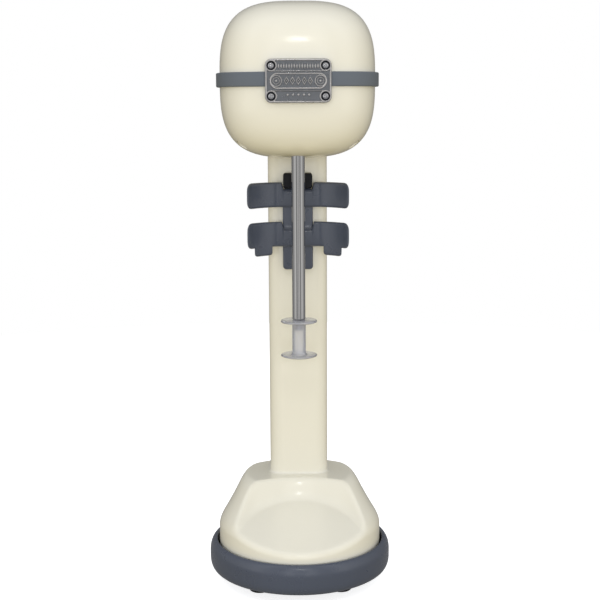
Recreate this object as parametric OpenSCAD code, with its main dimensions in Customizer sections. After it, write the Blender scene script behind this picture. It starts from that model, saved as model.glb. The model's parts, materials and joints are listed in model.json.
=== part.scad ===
/* [Overall] */
// Height from the table to the top of the motor head
total_h = 500; // [410:1:640]
// Diameter of the round base at its widest
base_d = 159; // [130:1:200]

/* [Base] */
// Diameter of each rubber foot
foot_d = 19; // [14:0.5:23]
// Height of the feet under the tray
foot_h = 10.5; // [7:0.5:14]
// How far the centre of a foot lies in from the edge of the base
foot_inset = 30; // [24:0.5:32]
// Height of the tray from its floor to its lip
tray_h = 26.5; // [22:0.5:34]
// Thickness of the tray floor
tray_floor = 3; // [2:0.5:5]
// Width of the tray lip, from its outer edge to the cover's side
lip_w = 8.5; // [6:0.5:12]
// Height of the cover's flat top over the tray lip
cover_h = 51; // [42:0.5:64]
// Wall thickness of the base cover
cover_wall = 3; // [2:0.5:4]
// Radius of the cup-shaped scoop in the front of the cover
scoop_r = 58; // [48:0.5:68]
// Distance from the column to the foot of the scoop
scoop_gap = 19.5; // [15:0.5:26]
// Depth of the scoop's foot under the flat top
scoop_depth = 18; // [14:0.5:24]
// Height of the front edge of the scooped apron over the tray lip
apron_front_h = 9.3; // [7:0.1:14]
// Thickness of the cast ballast
ballast_t = 14; // [8:0.5:18]

/* [Column] */
// Width of the column
col_w = 51.5; // [44:0.5:64]
// Depth of the column
col_d = 43; // [37:0.5:52]
// Corner radius of the column
col_corner = 12; // [8:0.5:14]
// Wall thickness of the column
col_wall = 3.5; // [2.5:0.5:4.5]
// Distance from the rear edge of the base to the rear face of the column
col_inset = 19.5; // [17:0.5:30]
// Thickness of the rear access panel
panel_t = 2.5; // [1.5:0.5:3]

/* [Head] */
// Width of the motor head
head_w = 129; // [118:1:156]
// Depth of the motor head
head_d = 142; // [134:1:172]
// Height of the motor head
head_h = 128; // [124:1:156]
// Distance from the column's middle forward to the middle of the head
head_reach = 39.5; // [34:0.5:44]
// Wall thickness of the head shells
head_wall = 3; // [2:0.5:4]
// Height of the trim band
band_h = 11.5; // [8:0.5:16]
// How far the trim band stands proud of the shells
band_proud = 3; // [1.5:0.5:4]
// Width of the nameplate
plate_w = 52; // [44:0.5:63]
// Height of the nameplate
plate_h = 34; // [29:0.5:40]
// How far the middle of the nameplate lies under the parting line of the head
plate_drop = 1.5; // [0:0.5:2]

/* [Spindle] */
// Distance from the column's front face to the spindle axis
spindle_reach = 49; // [46:0.5:56]
// Diameter of the spindle
spindle_d = 11; // [9:0.5:13]
// Distance from the head's lowest point to the lower end of the spindle
spindle_drop = 134.5; // [100:0.5:165]
// Diameter of the agitator discs
disc_d = 30.5; // [22:0.5:38]
// Distance between the agitator discs
disc_pitch = 30; // [24:0.5:36]

/* [Cup holder] */
// Distance from the head's lowest point down to the top of the holder
holder_gap = 14; // [12:0.5:20]
// Height of the holder's spine
spine_h = 83.6; // [78:0.1:100]
// Width of the holder's spine
spine_w = 26; // [24:0.5:27]
// Full width across the wings
wing_span = 86; // [76:0.5:100]
// Height of each wing
wing_h = 21.5; // [18:0.5:25]
// Thickness of the wings
wing_t = 5; // [3.5:0.5:6]
// Radius of the wings' curved inner faces
wing_r = 48; // [46:0.5:56]
// Travel of the switch pad when a cup pushes it
pad_travel = 4; // [2.5:0.5:4]

/* [Motor] */
// Outer diameter of the stator
stator_d = 56; // [48:0.5:56]
// Height of the lamination stack
stack_h = 32; // [26:0.5:34]
// Diameter of the armature
armature_d = 32; // [27:0.5:32]
// Diameter of the motor shaft
shaft_d = 8; // [7:0.5:9]
// Outer diameter of the ball bearings
bearing_d = 22; // [19:0.5:24]

/* [Fits] */
// Radial clearance of a shaft that turns in a hole
running_fit = 0.05; // [0.02:0.01:0.1]
// Clearance round a piece that is seated or passes through
loose_fit = 0.3; // [0.2:0.05:0.5]
// Radial gap round a screw in its thread
thread_fit = 0.05; // [0.03:0.01:0.1]

/* [Hidden] */
$fn = 64;
eps = 0.01;

cream = [0.92, 0.89, 0.80];
slate = [0.30, 0.33, 0.37];
band_grey = [0.40, 0.42, 0.43];
black = [0.08, 0.08, 0.09];
steel = [0.78, 0.79, 0.80];
pewter = [0.52, 0.52, 0.52];
brass = [0.78, 0.65, 0.32];
copper = [0.72, 0.42, 0.22];
iron = [0.35, 0.35, 0.37];
clear_white = [0.94, 0.95, 0.95];
nylon = [0.85, 0.84, 0.80];

// Base places
base_r = base_d / 2;
tray_z = foot_h;
tray_floor_z = tray_z + tray_floor;
lip_z = tray_z + tray_h;
lip_gap = 2;
lip_inner_r = base_r - lip_w + lip_gap;
ledge_w = 7;
ledge_z = tray_z + 9.5;
cover_r = base_r - lip_w;
cover_top_z = lip_z + cover_h;
cover_shoulder_z = lip_z + 21;
foot_place = (base_r - foot_inset) / sqrt(2);
foot_screw_r = 2.5;
foot_recess_r = 5.2;
foot_recess_h = 5;
ballast_r = lip_inner_r - ledge_w - 2;
ballast_z = tray_floor_z;
ballast_top_z = ballast_z + ballast_t;
rounding = 5;
rim_ribs = 12;
gland_r = 7;
gland_hole_r = 3.6;
gland_notch_r = gland_r + loose_fit;
gland_flat = 2.5;
gland_z = tray_z + 15.5;

// Column places
col_rear_y = base_r - col_inset;
col_y = col_rear_y - col_d / 2;
col_front_y = col_y - col_d / 2;
col_inner_w = col_w - 2 * col_wall;
col_inner_d = col_d - 2 * col_wall;
col_inner_front_y = col_front_y + col_wall;
col_inner_rear_y = col_rear_y - col_wall;
tie_x = col_w / 2 - 9.5;
tie_y = col_d / 2 - 9.5;
tie_r = 3;
tie_boss_r = 6;
tie_boss_h = 18;
tie_thread_h = 15;
cable_hole_r = 8;
mount_plate_t = 4;

// Flat seat of the column on the cover
plateau_shift = 16.5;
seat_h = 0.5;
seat_rim = 1.35;
plateau_z = cover_top_z - seat_h;
mount_plate_z = plateau_z - cover_wall - mount_plate_t;
plateau_y = col_y - plateau_shift;
plateau_corner = [col_w / 2 - 0.293 * col_corner, col_d / 2 + plateau_shift - 0.293 * col_corner];
plateau_rim = 9;
plateau_r = norm(plateau_corner) + plateau_rim;
scoop_y = col_front_y - scoop_gap - scoop_r;
scoop_foot_z = cover_top_z - scoop_depth;
scoop_front_y = rounding - cover_r;
apron_slope = (scoop_foot_z - lip_z - apron_front_h) / (scoop_y + scoop_r - scoop_front_y);
riser_slope = 1.4;

// Head places
head_a = head_w / 2;
head_b = head_d / 2;
head_c = head_h / 2;
head_z = total_h - head_c;
head_y = col_y - head_reach;
head_low_z = total_h - head_h;
plan_n = 3;
side_n = 3.15;
spindle_y = col_front_y - spindle_reach;
spindle_end_z = head_low_z - spindle_drop;
stud_r = 2.35;
stud_h = 8.5;
col_top_z = head_low_z + 26;
cover_screw_x = head_a - 18.5;
cover_screw_front_y = head_y - 33;
cover_screw_rear_y = head_y + 31;
cover_screw_r = 2;
cover_screw_depth = 12;
cover_screw_seat = 30;
cover_screw_head_r = 3.9;
neck_boss_x = col_w / 2 + 7;
neck_boss_r = 5;
neck_plate_t = 3;

// Nameplate places
plate_back = 0.4;
plate_front = 6.3;
plate_z = head_z - plate_drop;
plate_screw_x = plate_w / 2 - 4.75;
plate_screw_z = plate_h / 2 - 5.2;
plate_screw_r = 1.5;
plate_head_r = 2.6;

// Holder places
holder_top_z = head_low_z - holder_gap;
spine_z = holder_top_z - spine_h;
pad_h = 13;
spine_top_z = holder_top_z - pad_h - 1;
spine_t = 9;
upper_wing_z = spine_top_z - 15.3;
lower_wing_z = spine_z + 20.3;
wing_front_y = col_front_y - 12;
cup_axis_y = wing_front_y - sqrt(wing_r * wing_r - 18.5 * 18.5);
bridge_x = 18.5;
notch_w = 28;
notch_foot_w = 23.6;
notch_h = 7;
wing_corner = 4;
tab_in_x = 22;
tab_out_x = 37;
tab_h = 7.4;
holder_screw_z = [spine_z + 9, (upper_wing_z + lower_wing_z + wing_h) / 2];
holder_screw_r = 2.5;
holder_boss_r = 6;
holder_boss_h = 7;

// Switch places
pad_z = spine_top_z + 1 + pad_h / 2;
pad_t = 9.5;
pad_front_y = col_front_y - pad_t - pad_travel - 1;
stem_r = 4;
stem_tip_r = 1.5;
clip_y = col_inner_front_y + 0.6;
clip_r = stem_r + 0.9;
lever_pivot_z = pad_z - 11.5;
lever_pivot_y = col_front_y + 18;
lever_t = 0.6;
lever_rest_angle = 23.5;
stem_end_y = lever_face_y(pad_z + stem_tip_r - lever_pivot_z, -1) - 0.3;
stem_shoulder_y = lever_face_y(pad_z + stem_r - lever_pivot_z, -1) - 0.5;
micro_w = 10.3;
micro_front_y = lever_pivot_y + 1.2;
micro_d = 12;
micro_z = lever_pivot_z - 4;
micro_h = 28;
button_z = lever_pivot_z + 5;
button_r = 1.4;
bracket_t = 1.5;
micro_screw_r = 1.5;
rocker_z = head_low_z - 60;
rocker_w = 13;
rocker_h = 19;
rocker_depth = 17;
rocker_gap = 0.5;
rocker_pivot_y = col_rear_y + panel_t - 2.5;
rocker_pin_r = 1.4;
panel_w = col_w - 2 * col_corner - 0.5;
panel_z = cover_top_z + 14;
panel_top_z = head_low_z + 2;
panel_screw_r = 1.5;
slot_w = 18;

// Motor places, all measured from the middle of the head
shaft_r = shaft_d / 2;
post_r = 3.6;
bolt_r = 2;
stack_z = head_z - 14;
stack_top_z = stack_z + stack_h;
winding_h = 6;
yoke_t = 6;
bolt_x = stator_d / 2 - yoke_t / 2;
lower_frame_z = head_z - 36;
lower_frame_t = 5;
frame_boss_r = bearing_d / 2 + 3;
bearing_h = 7;
lower_bearing_z = head_z - 38.5;
upper_frame_z = stack_top_z + 23;
upper_frame_t = 5;
upper_bearing_z = upper_frame_z + 1.5;
commutator_z = stack_top_z + 9;
commutator_h = 12;
commutator_r = 10;
fan_z = head_z - 28;
fan_h = 6;
fan_r = bolt_x - post_r - 1;
mount_r = 31;
mount_boss_r = 5.3;
mount_boss_turn = 4;
grommet_h = 4;
boss_top_z = lower_frame_z - grommet_h;
brush_in_r = commutator_r + 0.1;
brush_out_r = 24;
bushing_r = 8;
bushing_h = 7;
bushing_z = head_low_z + 4.5;
coupling_z = bushing_z + bushing_h + 0.8;
coupling_h = lower_bearing_z - 2 - coupling_z;
shaft_end_z = coupling_z + coupling_h / 2;
coupling_r = 9;
lead_r = 1.1;

// Face of the switch lever at height h over its pivot: side -1 is the front, 1 the back
function lever_face_y(h, side) =
    lever_pivot_y - h * tan(lever_rest_angle) + side * lever_t / 2 / cos(lever_rest_angle);
// A point on a quadratic curve, and the whole curve in n steps
function bend(a, b, c, t) = (1 - t) * (1 - t) * a + 2 * t * (1 - t) * b + t * t * c;
function curve(a, b, c, n) = [for (i = [0 : n]) bend(a, b, c, i / n)];
// Smallest and largest of two heights with their meeting rounded over k
function soft_min(a, b, k) = min(a, b) - pow(max(k - abs(a - b), 0), 2) / (4 * k);
function soft_max(a, b, k) = max(a, b) + pow(max(k - abs(a - b), 0), 2) / (4 * k);
function signed_pow(v, e) = sign(v) * pow(abs(v), e);

// Outline of the head in plan, grown by off
function head_outline(off, n = 96) = [
    for (i = [0 : n - 1])
        let (t = 360 * i / n)
        [(head_a + off) * signed_pow(cos(t), 2 / plan_n),
         head_y + (head_b + off) * signed_pow(sin(t), 2 / plan_n)]
];
// Front face of the head at x, grown by off
function head_front_y(x, off) =
    head_y - (head_b + off) * pow(1 - pow(abs(x) / (head_a + off), plan_n), 1 / plan_n);

// One ring of points of the head's surface at latitude lat, pulled in by wall
function head_ring(lat, wall, n) = [
    for (i = [0 : n - 1])
        let (t = 360 * i / n, s = pow(cos(lat), 2 / side_n))
        [(head_a - wall) * s * signed_pow(cos(t), 2 / plan_n),
         head_y + (head_b - wall) * s * signed_pow(sin(t), 2 / plan_n),
         head_z + (head_c - wall) * signed_pow(sin(lat), 2 / side_n)]
];

// Faces between rings of n points, with a cap at both ends
function ring_faces(rings, n) = concat(
    [[for (i = [0 : n - 1]) i]],
    [for (j = [0 : rings - 2], i = [0 : n - 1])
        [j * n + i, (j + 1) * n + (i + 1) % n, j * n + (i + 1) % n]],
    [for (j = [0 : rings - 2], i = [0 : n - 1])
        [j * n + i, (j + 1) * n + i, (j + 1) * n + (i + 1) % n]],
    [[for (i = [0 : n - 1]) rings * n - 1 - i]]
);

// Solid half of the head, above (side 1) or below (side -1) the parting plane
module head_half(wall, side) {
    n = 56;
    lats = [0, 12, 24, 36, 47, 57, 66, 74, 81, 86.5];
    low = [for (k = [len(lats) - 1 : -1 : 0]) -lats[k]];
    rings = side > 0 ? lats : low;
    points = [for (lat = rings) each head_ring(lat, wall, n)];
    polyhedron(points = points, faces = ring_faces(len(rings), n), convexity = 4);
}

// Distance from the plateau's middle to a circle of radius r, along angle t
function ray_to(r, t) =
    let (b = plateau_y * sin(t))
    sqrt(r * r - plateau_y * plateau_y + b * b) - b;
// Height of the plain dome, before the scoop
function dome_z(x, y) =
    let (
        d = norm([x, y - plateau_y]),
        t = atan2(y - plateau_y, x),
        edge = ray_to(cover_r - 3, t),
        rise = (plateau_z - cover_shoulder_z) / max(edge - plateau_r, 2)
    )
    soft_min(plateau_z, cover_shoulder_z + rise * (edge - d), 8);
// Height of the scooped apron and of the riser behind it
function apron_z(y) = scoop_foot_z + apron_slope * (y - scoop_y - scoop_r);
function scoop_z(x, y) =
    let (d = norm([x, y - scoop_y]) - scoop_r)
    soft_max(apron_z(y), apron_z(y) + (riser_slope + apron_slope) * d, 6);
function cover_z(x, y) = soft_min(dome_z(x, y), scoop_z(x, y), 5);

// Points of the cover's outside along one ray from the plateau's middle, rim first
function cover_ray(t) =
    let (
        rim = ray_to(cover_r, t),
        edge = ray_to(cover_r - rounding, t),
        edge_z = cover_z(edge * cos(t), plateau_y + edge * sin(t)),
        turn_z = min(cover_shoulder_z - 4.3, edge_z - 1.9)
    )
    concat(
        [[rim, ledge_z]],
        curve([rim, turn_z - rounding], [rim, turn_z], [edge, edge_z], 3),
        [for (s = [0.92, 0.84, 0.76, 0.68, 0.6, 0.5, 0.38, 0.24, 0.1])
            [edge * s, cover_z(edge * s * cos(t), plateau_y + edge * s * sin(t))]]
    );

// Solid of the cover's outside, or of its hollow when wall is not 0
module cover_solid(wall) {
    n = 60;
    rays = [for (i = [0 : n - 1]) cover_ray(360 * i / n)];
    rings = len(rays[0]);
    points = [
        for (j = [0 : rings - 1], i = [0 : n - 1])
            let (
                t = 360 * i / n,
                rim = ray_to(cover_r, t),
                r = rays[i][j][0] * (rim - wall) / rim,
                z = j == 0 ? rays[i][j][1] - (wall > 0 ? 1 : 0) : rays[i][j][1] - wall
            )
            [r * cos(t), plateau_y + r * sin(t), z]
    ];
    polyhedron(points = points, faces = ring_faces(rings, n), convexity = 6);
}

module rounded_rect(w, d, r) {
    square([w - 2 * r, d], center = true);
    square([w, d - 2 * r], center = true);
    for (x = [-1, 1], y = [-1, 1])
        translate([x * (w / 2 - r), y * (d / 2 - r)]) circle(r);
}

// Copies its child at the four column tie bolts
module at_ties() {
    for (x = [-tie_x, tie_x], y = [col_y - tie_y, col_y + tie_y])
        translate([x, y, 0]) children();
}

module at_feet() {
    for (x = [-foot_place, foot_place], y = [-foot_place, foot_place])
        translate([x, y, 0]) children();
}

// A cylinder along Y from y1 to y2
module y_rod(r, x, y1, y2, z) {
    translate([x, y1, z]) rotate([-90, 0, 0]) cylinder(r = r, h = y2 - y1);
}

// A cylinder along X from x1 to x2
module x_rod(r, x1, x2, y, z) {
    translate([x1, y, z]) rotate([0, 90, 0]) cylinder(r = r, h = x2 - x1);
}

module ring(r_out, r_in, h) {
    difference() {
        cylinder(r = r_out, h = h);
        translate([0, 0, -1]) cylinder(r = r_in, h = h + 2);
    }
}

// A piece of a ring between two angles less than 180 degrees apart
module ring_piece(r_out, r_in, h, a1, a2) {
    mid = (a1 + a2) / 2;
    reach = 3 * r_out;
    intersection() {
        ring(r_out, r_in, h);
        translate([0, 0, -1]) linear_extrude(h + 2)
            polygon([[0, 0], reach * [cos(a1), sin(a1)], reach * [cos(mid), sin(mid)],
                     reach * [cos(a2), sin(a2)]]);
    }
}

// Puts its children on the motor's axis
module on_motor() {
    translate([0, spindle_y, 0]) children();
}

// ---------------------------------------------------------------- base

module rubber_feet() {
    color(black) at_feet() difference() {
        rotate_extrude() polygon(concat(
            [[0, 0], [foot_d / 2 - 2, 0]],
            curve([foot_d / 2 - 1.5, 0], [foot_d / 2 - 0.2, 0.1], [foot_d / 2, 2], 4),
            [[foot_d / 2, foot_h], [0, foot_h]]
        ));
        translate([0, 0, -1]) cylinder(r = foot_recess_r, h = foot_recess_h + 1);
        translate([0, 0, -1]) cylinder(r = foot_screw_r + loose_fit, h = foot_h + 2);
    }
}

module foot_screws() {
    head_h = 3.5;
    color(steel) at_feet() difference() {
        union() {
            translate([0, 0, foot_recess_h - head_h]) cylinder(r = 4.6, h = head_h);
            translate([0, 0, foot_recess_h - eps])
                cylinder(r = foot_screw_r, h = ballast_z + 9 - foot_recess_h);
        }
        translate([0, 0, foot_recess_h - head_h - eps]) cylinder(r = 2.2, h = 2, $fn = 6);
    }
}

module base_tray() {
    top = lip_z;
    color(slate) difference() {
        rotate_extrude($fn = 128) polygon(concat(
            [[0, tray_z], [base_r - 4, tray_z]],
            curve([base_r - 3.5, tray_z], [base_r, tray_z + 1], [base_r, tray_z + 7.5], 6),
            curve([base_r, tray_z + 9], [base_r, tray_z + 17], [base_r - 2.7, top - 2], 6),
            curve([base_r - 2.9, top - 1.4], [base_r - 3.2, top], [base_r - 4.8, top], 4),
            [[lip_inner_r, top - 0.6], [lip_inner_r, ledge_z], [lip_inner_r - ledge_w, ledge_z],
             [lip_inner_r - ledge_w, tray_floor_z], [0, tray_floor_z]]
        ));
        at_feet() translate([0, 0, tray_z - 1])
            cylinder(r = foot_screw_r + loose_fit, h = tray_floor + 2);
        y_rod(gland_r + loose_fit / 2, 0, base_r - 20, base_r + 5, gland_z);
        translate([-gland_r - 4, base_r - gland_flat, gland_z - gland_r - 2.5])
            cube([2 * gland_r + 8, 10, 2 * gland_r + 5]);
    }
}

module ballast() {
    color(iron) difference() {
        translate([0, 0, ballast_z]) cylinder(r = ballast_r, h = ballast_t, $fn = 96);
        at_feet() translate([0, 0, ballast_z - 1]) cylinder(r = foot_screw_r + thread_fit, h = ballast_t + 2);
        at_ties() translate([0, 0, ballast_z - 1]) cylinder(r = tie_r + loose_fit, h = ballast_t + 2);
        at_ties() translate([0, 0, ballast_z - 1]) cylinder(r = 6, h = 8);
        translate([0, ballast_r - 12, ballast_z - 1])
            linear_extrude(ballast_t + 2) rounded_rect(24, 30, 5);
    }
}

// Tapered rib that stiffens the cover's rim where it stands on the tray's ledge
module rim_rib() {
    inner = cover_r - cover_wall;
    hull() {
        translate([inner - 3, -1, ledge_z]) cube([3.5, 2, 1]);
        translate([inner - 0.5, -1, lip_z - 2]) cube([1, 2, 1]);
    }
}

module base_cover() {
    $fn = 32;
    color(cream) difference() {
        union() {
            difference() {
                cover_solid(0);
                cover_solid(cover_wall);
            }
            translate([0, col_y, cover_top_z - cover_wall])
                linear_extrude(cover_wall)
                    rounded_rect(col_w + 2 * seat_rim, col_d + 2 * seat_rim, col_corner + seat_rim);
            for (i = [0 : rim_ribs - 1]) rotate(360 * (i + 0.5) / rim_ribs) rim_rib();
        }
        at_ties() translate([0, 0, cover_top_z - 10]) cylinder(r = tie_r + loose_fit, h = 20);
        translate([0, col_y, cover_top_z - 10]) cylinder(r = cable_hole_r, h = 20);
        y_rod(gland_notch_r, 0, cover_r - 12, cover_r + 2, gland_z);
        translate([-gland_notch_r, cover_r - 12, ledge_z - 1])
            cube([2 * gland_notch_r, 14, gland_z - ledge_z + 1]);
    }
}

module column_mount_plate() {
    color(steel) translate([0, col_y, mount_plate_z]) difference() {
        linear_extrude(mount_plate_t) rounded_rect(2 * tie_x + 10, 2 * tie_y + 10, 5);
        translate([0, 0, -1]) cylinder(r = cable_hole_r, h = mount_plate_t + 2);
        for (x = [-tie_x, tie_x], y = [-tie_y, tie_y])
            translate([x, y, -1]) cylinder(r = tie_r + loose_fit, h = mount_plate_t + 2);
    }
}

module spacer_tubes() {
    color(steel) at_ties() translate([0, 0, ballast_top_z])
        ring(5.5, tie_r + loose_fit, mount_plate_z - ballast_top_z);
}

module column_tie_bolts() {
    head_z0 = ballast_z + 1;
    seat_z = ballast_z + 7;
    color(steel) at_ties() difference() {
        union() {
            translate([0, 0, head_z0]) cylinder(r = 5, h = seat_z - head_z0);
            translate([0, 0, seat_z - eps])
                cylinder(r = tie_r, h = cover_top_z + tie_thread_h - seat_z);
        }
        translate([0, 0, head_z0 - eps]) cylinder(r = 2.9, h = 3, $fn = 6);
    }
}

module cord_gland() {
    color(black) difference() {
        union() {
            y_rod(gland_r, 0, base_r - 16.5, base_r - 1, gland_z);
            y_rod(gland_r + 2.2, 0, base_r - gland_flat, base_r, gland_z);
        }
        y_rod(gland_hole_r, 0, base_r - 30, base_r + 1, gland_z);
    }
}

module terminal_block() {
    w = 30;
    d = 16;
    h = 12;
    color(nylon) translate([-w / 2, 2, ballast_top_z]) difference() {
        cube([w, d, h]);
        for (i = [0 : 2]) {
            translate([w * (i + 0.5) / 3, d / 2, h - 6]) cylinder(r = 2.6, h = 10);
            translate([w * (i + 0.5) / 3, -1, 4]) rotate([-90, 0, 0]) cylinder(r = 1.8, h = d + 2);
        }
    }
}

module suppressor_capacitor() {
    color("gold") translate([-38, -16, ballast_top_z]) difference() {
        translate([7, 5, 0]) linear_extrude(10) rounded_rect(14, 10, 2);
        for (x = [3, 11]) translate([x, 5, 7]) cylinder(r = 0.8, h = 5);
    }
}

// ---------------------------------------------------------------- column

module column() {
    h = col_top_z - cover_top_z;
    color(cream) difference() {
        union() {
            difference() {
                translate([0, col_y, cover_top_z]) linear_extrude(h) rounded_rect(col_w, col_d, col_corner);
                translate([0, col_y, cover_top_z - 1]) linear_extrude(h + 2)
                    rounded_rect(col_inner_w, col_inner_d, col_corner - col_wall);
            }
            at_ties() translate([0, 0, cover_top_z]) cylinder(r = tie_boss_r, h = tie_boss_h);
            at_ties() translate([0, 0, col_top_z - tie_boss_h]) cylinder(r = tie_boss_r, h = tie_boss_h);
            for (z = holder_screw_z)
                y_rod(holder_boss_r, 0, col_inner_front_y - 1, col_inner_front_y + holder_boss_h, z);
            for (z = [panel_z + 6, panel_top_z - 6])
                y_rod(5, 0, col_inner_rear_y - 5, col_inner_rear_y + 1, z);
        }
        at_ties() translate([0, 0, cover_top_z - 1]) cylinder(r = tie_r + thread_fit, h = tie_boss_h + 2);
        at_ties() translate([0, 0, col_top_z - tie_boss_h - 1])
            cylinder(r = 2 + thread_fit, h = tie_boss_h + 2);
        for (z = holder_screw_z)
            y_rod(holder_screw_r + thread_fit, 0, col_front_y - 1, col_inner_front_y + holder_boss_h + 1, z);
        for (z = [panel_z + 6, panel_top_z - 6])
            y_rod(panel_screw_r + thread_fit, 0, col_inner_rear_y - 6, col_rear_y + 1, z);
        y_rod(stem_r + running_fit, 0, col_front_y - 1, col_inner_front_y + 1, pad_z);
        for (z = bracket_screw_z())
            y_rod(micro_screw_r + thread_fit, bracket_screw_x(), col_front_y + 1, col_inner_front_y + 1, z);
        translate([-slot_w / 2, col_rear_y - col_wall - 1, panel_z + 14])
            cube([slot_w, col_wall + 2, panel_top_z - panel_z - 28]);
    }
}

module rear_panel() {
    color(cream) difference() {
        translate([0, col_rear_y, 0]) rotate([-90, 0, 0]) translate([0, -(panel_z + panel_top_z) / 2, 0])
            linear_extrude(panel_t) rounded_rect(panel_w, panel_top_z - panel_z, 4);
        for (z = [panel_z + 6, panel_top_z - 6])
            y_rod(panel_screw_r + loose_fit, 0, col_rear_y - 1, col_rear_y + panel_t + 1, z);
        translate([-rocker_w / 2, col_rear_y - 1, rocker_z - rocker_h / 2])
            cube([rocker_w, panel_t + 2, rocker_h]);
    }
}

module panel_screws() {
    face = col_rear_y + panel_t;
    color(steel) for (z = [panel_z + 6, panel_top_z - 6]) difference() {
        union() {
            y_rod(panel_screw_r, 0, face - 11, face + eps, z);
            y_rod(2.8, 0, face, face + 1.8, z);
        }
        translate([-0.35, face + 0.9, z - 2]) cube([0.7, 2, 4]);
        translate([-2, face + 0.9, z - 0.35]) cube([4, 2, 0.7]);
    }
}

module rocker_housing() {
    face = col_rear_y + panel_t;
    wall = 1.2;
    color(black) difference() {
        union() {
            translate([-rocker_w / 2 + 0.15, face - rocker_depth, rocker_z - rocker_h / 2 + 0.15])
                cube([rocker_w - 0.3, rocker_depth + eps, rocker_h - 0.3]);
            translate([0, face, 0]) rotate([-90, 0, 0]) translate([0, -rocker_z, 0])
                linear_extrude(1.5) rounded_rect(rocker_w + 2.5, rocker_h + 3, 1.2);
        }
        translate([-rocker_w / 2 + wall, face - 9, rocker_z - rocker_h / 2 + wall])
            cube([rocker_w - 2 * wall, 12, rocker_h - 2 * wall]);
        x_rod(rocker_pin_r + running_fit, -rocker_w / 2 + 0.4, rocker_w / 2 - 0.4, rocker_pivot_y, rocker_z);
    }
}

module speed_rocker() {
    w = rocker_w - 2.4 - 2 * rocker_gap;
    half = rocker_h / 2 - 1.2 - rocker_gap - 0.6;
    face = col_rear_y + panel_t;
    color(black) union() {
        translate([-w / 2, 0, 0]) rotate([90, 0, 90]) linear_extrude(w) polygon([
            [face - 4, rocker_z - half * 0.55], [face - 1, rocker_z - half], [face + 3.8, rocker_z - half],
            [face + 1.9, rocker_z], [face + 3.8, rocker_z + half], [face - 1, rocker_z + half],
            [face - 4, rocker_z + half * 0.55]
        ]);
        x_rod(rocker_pin_r, -rocker_w / 2 + 0.5, rocker_w / 2 - 0.5, rocker_pivot_y, rocker_z);
    }
}

// ---------------------------------------------------------------- neck

module neck_plate() {
    color(steel) translate([0, col_y, col_top_z]) difference() {
        linear_extrude(neck_plate_t) union() {
            rounded_rect(col_w - 2, col_d - 2, col_corner - 2);
            rounded_rect(2 * neck_boss_x + 2 * neck_boss_r, 2 * neck_boss_r + 4, neck_boss_r);
        }
        translate([0, 0, -1]) cylinder(r = cable_hole_r, h = neck_plate_t + 2);
        for (x = [-tie_x, tie_x], y = [-tie_y, tie_y])
            translate([x, y, -1]) cylinder(r = 2 + loose_fit, h = neck_plate_t + 2);
        for (x = [-neck_boss_x, neck_boss_x])
            translate([x, 0, -1]) cylinder(r = 2 + loose_fit, h = neck_plate_t + 2);
    }
}

module neck_screws() {
    color(steel) translate([0, col_y, col_top_z + neck_plate_t]) {
        for (x = [-tie_x, tie_x], y = [-tie_y, tie_y]) translate([x, y, 0]) {
            cylinder(r = 3.8, h = 2.6);
            translate([0, 0, -15]) cylinder(r = 2, h = 15 + eps);
        }
        for (x = [-neck_boss_x, neck_boss_x]) translate([x, 0, 0]) {
            cylinder(r = 3.8, h = 2.6);
            translate([0, 0, -13]) cylinder(r = 2, h = 13 + eps);
        }
    }
}

// ---------------------------------------------------------------- cup holder

// Half of a wing in plan: a flat bridge, then an arc that follows the cup
module wing_half_plan() {
    tip_x = wing_span / 2;
    arc_end = asin(tip_x / wing_r);
    arc_start = asin(bridge_x / wing_r);
    steps = 10;
    inner = [for (i = [0 : steps])
        let (a = arc_start + (arc_end - arc_start) * i / steps)
        [wing_r * sin(a), cup_axis_y + wing_r * cos(a)]];
    outer_r = wing_r + wing_t;
    outer_end = asin(tip_x / outer_r);
    outer_start = asin((bridge_x + 1.8) / outer_r);
    outer = [for (i = [0 : steps])
        let (a = outer_end + (outer_start - outer_end) * i / steps)
        [outer_r * sin(a), cup_axis_y + outer_r * cos(a)]];
    polygon(concat([[-eps, wing_front_y]], inner, outer, [[-eps, wing_front_y + wing_t]]));
}

module wing_plan() {
    wing_half_plan();
    mirror([1, 0]) wing_half_plan();
}

// The block left out of a wing's top edge, with sloping sides
module wing_notch(z) {
    lean = (notch_w - notch_foot_w) / 2 / notch_h;
    translate([0, wing_front_y + 30, 0]) rotate([90, 0, 0]) linear_extrude(60) polygon([
        [-notch_w / 2 - lean, z + 1], [-notch_foot_w / 2, z - notch_h],
        [notch_foot_w / 2, z - notch_h], [notch_w / 2 + lean, z + 1]
    ]);
}

module cup_holder() {
    color(slate) difference() {
        union() {
            for (z = [upper_wing_z, lower_wing_z]) difference() {
                intersection() {
                    translate([0, 0, z]) linear_extrude(wing_h) wing_plan();
                    translate([0, cup_axis_y, z + wing_h / 2]) rotate([-90, 0, 0])
                        linear_extrude(2 * wing_r) rounded_rect(wing_span, wing_h, wing_corner);
                }
                wing_notch(z + wing_h);
            }
            intersection() {
                translate([0, 0, lower_wing_z - tab_h]) linear_extrude(tab_h + eps) wing_plan();
                for (s = [-1, 1])
                    translate([s * (tab_in_x + tab_out_x) / 2, cup_axis_y, lower_wing_z - tab_h + 5])
                        rotate([-90, 0, 0]) linear_extrude(2 * wing_r)
                        union() {
                            rounded_rect(tab_out_x - tab_in_x, 10, 2.5);
                            translate([0, -4]) square([tab_out_x - tab_in_x, 8], center = true);
                        }
            }
            translate([0, col_front_y - spine_t, (spine_z + spine_top_z) / 2]) rotate([-90, 0, 0])
                linear_extrude(spine_t) rounded_rect(spine_w, spine_top_z - spine_z, 3);
        }
        for (z = holder_screw_z) {
            y_rod(holder_screw_r + loose_fit, 0, col_front_y - 30, col_front_y + 1, z);
            y_rod(4.8, 0, col_front_y - 30, col_front_y - spine_t + 3.2, z);
        }
    }
}

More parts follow.
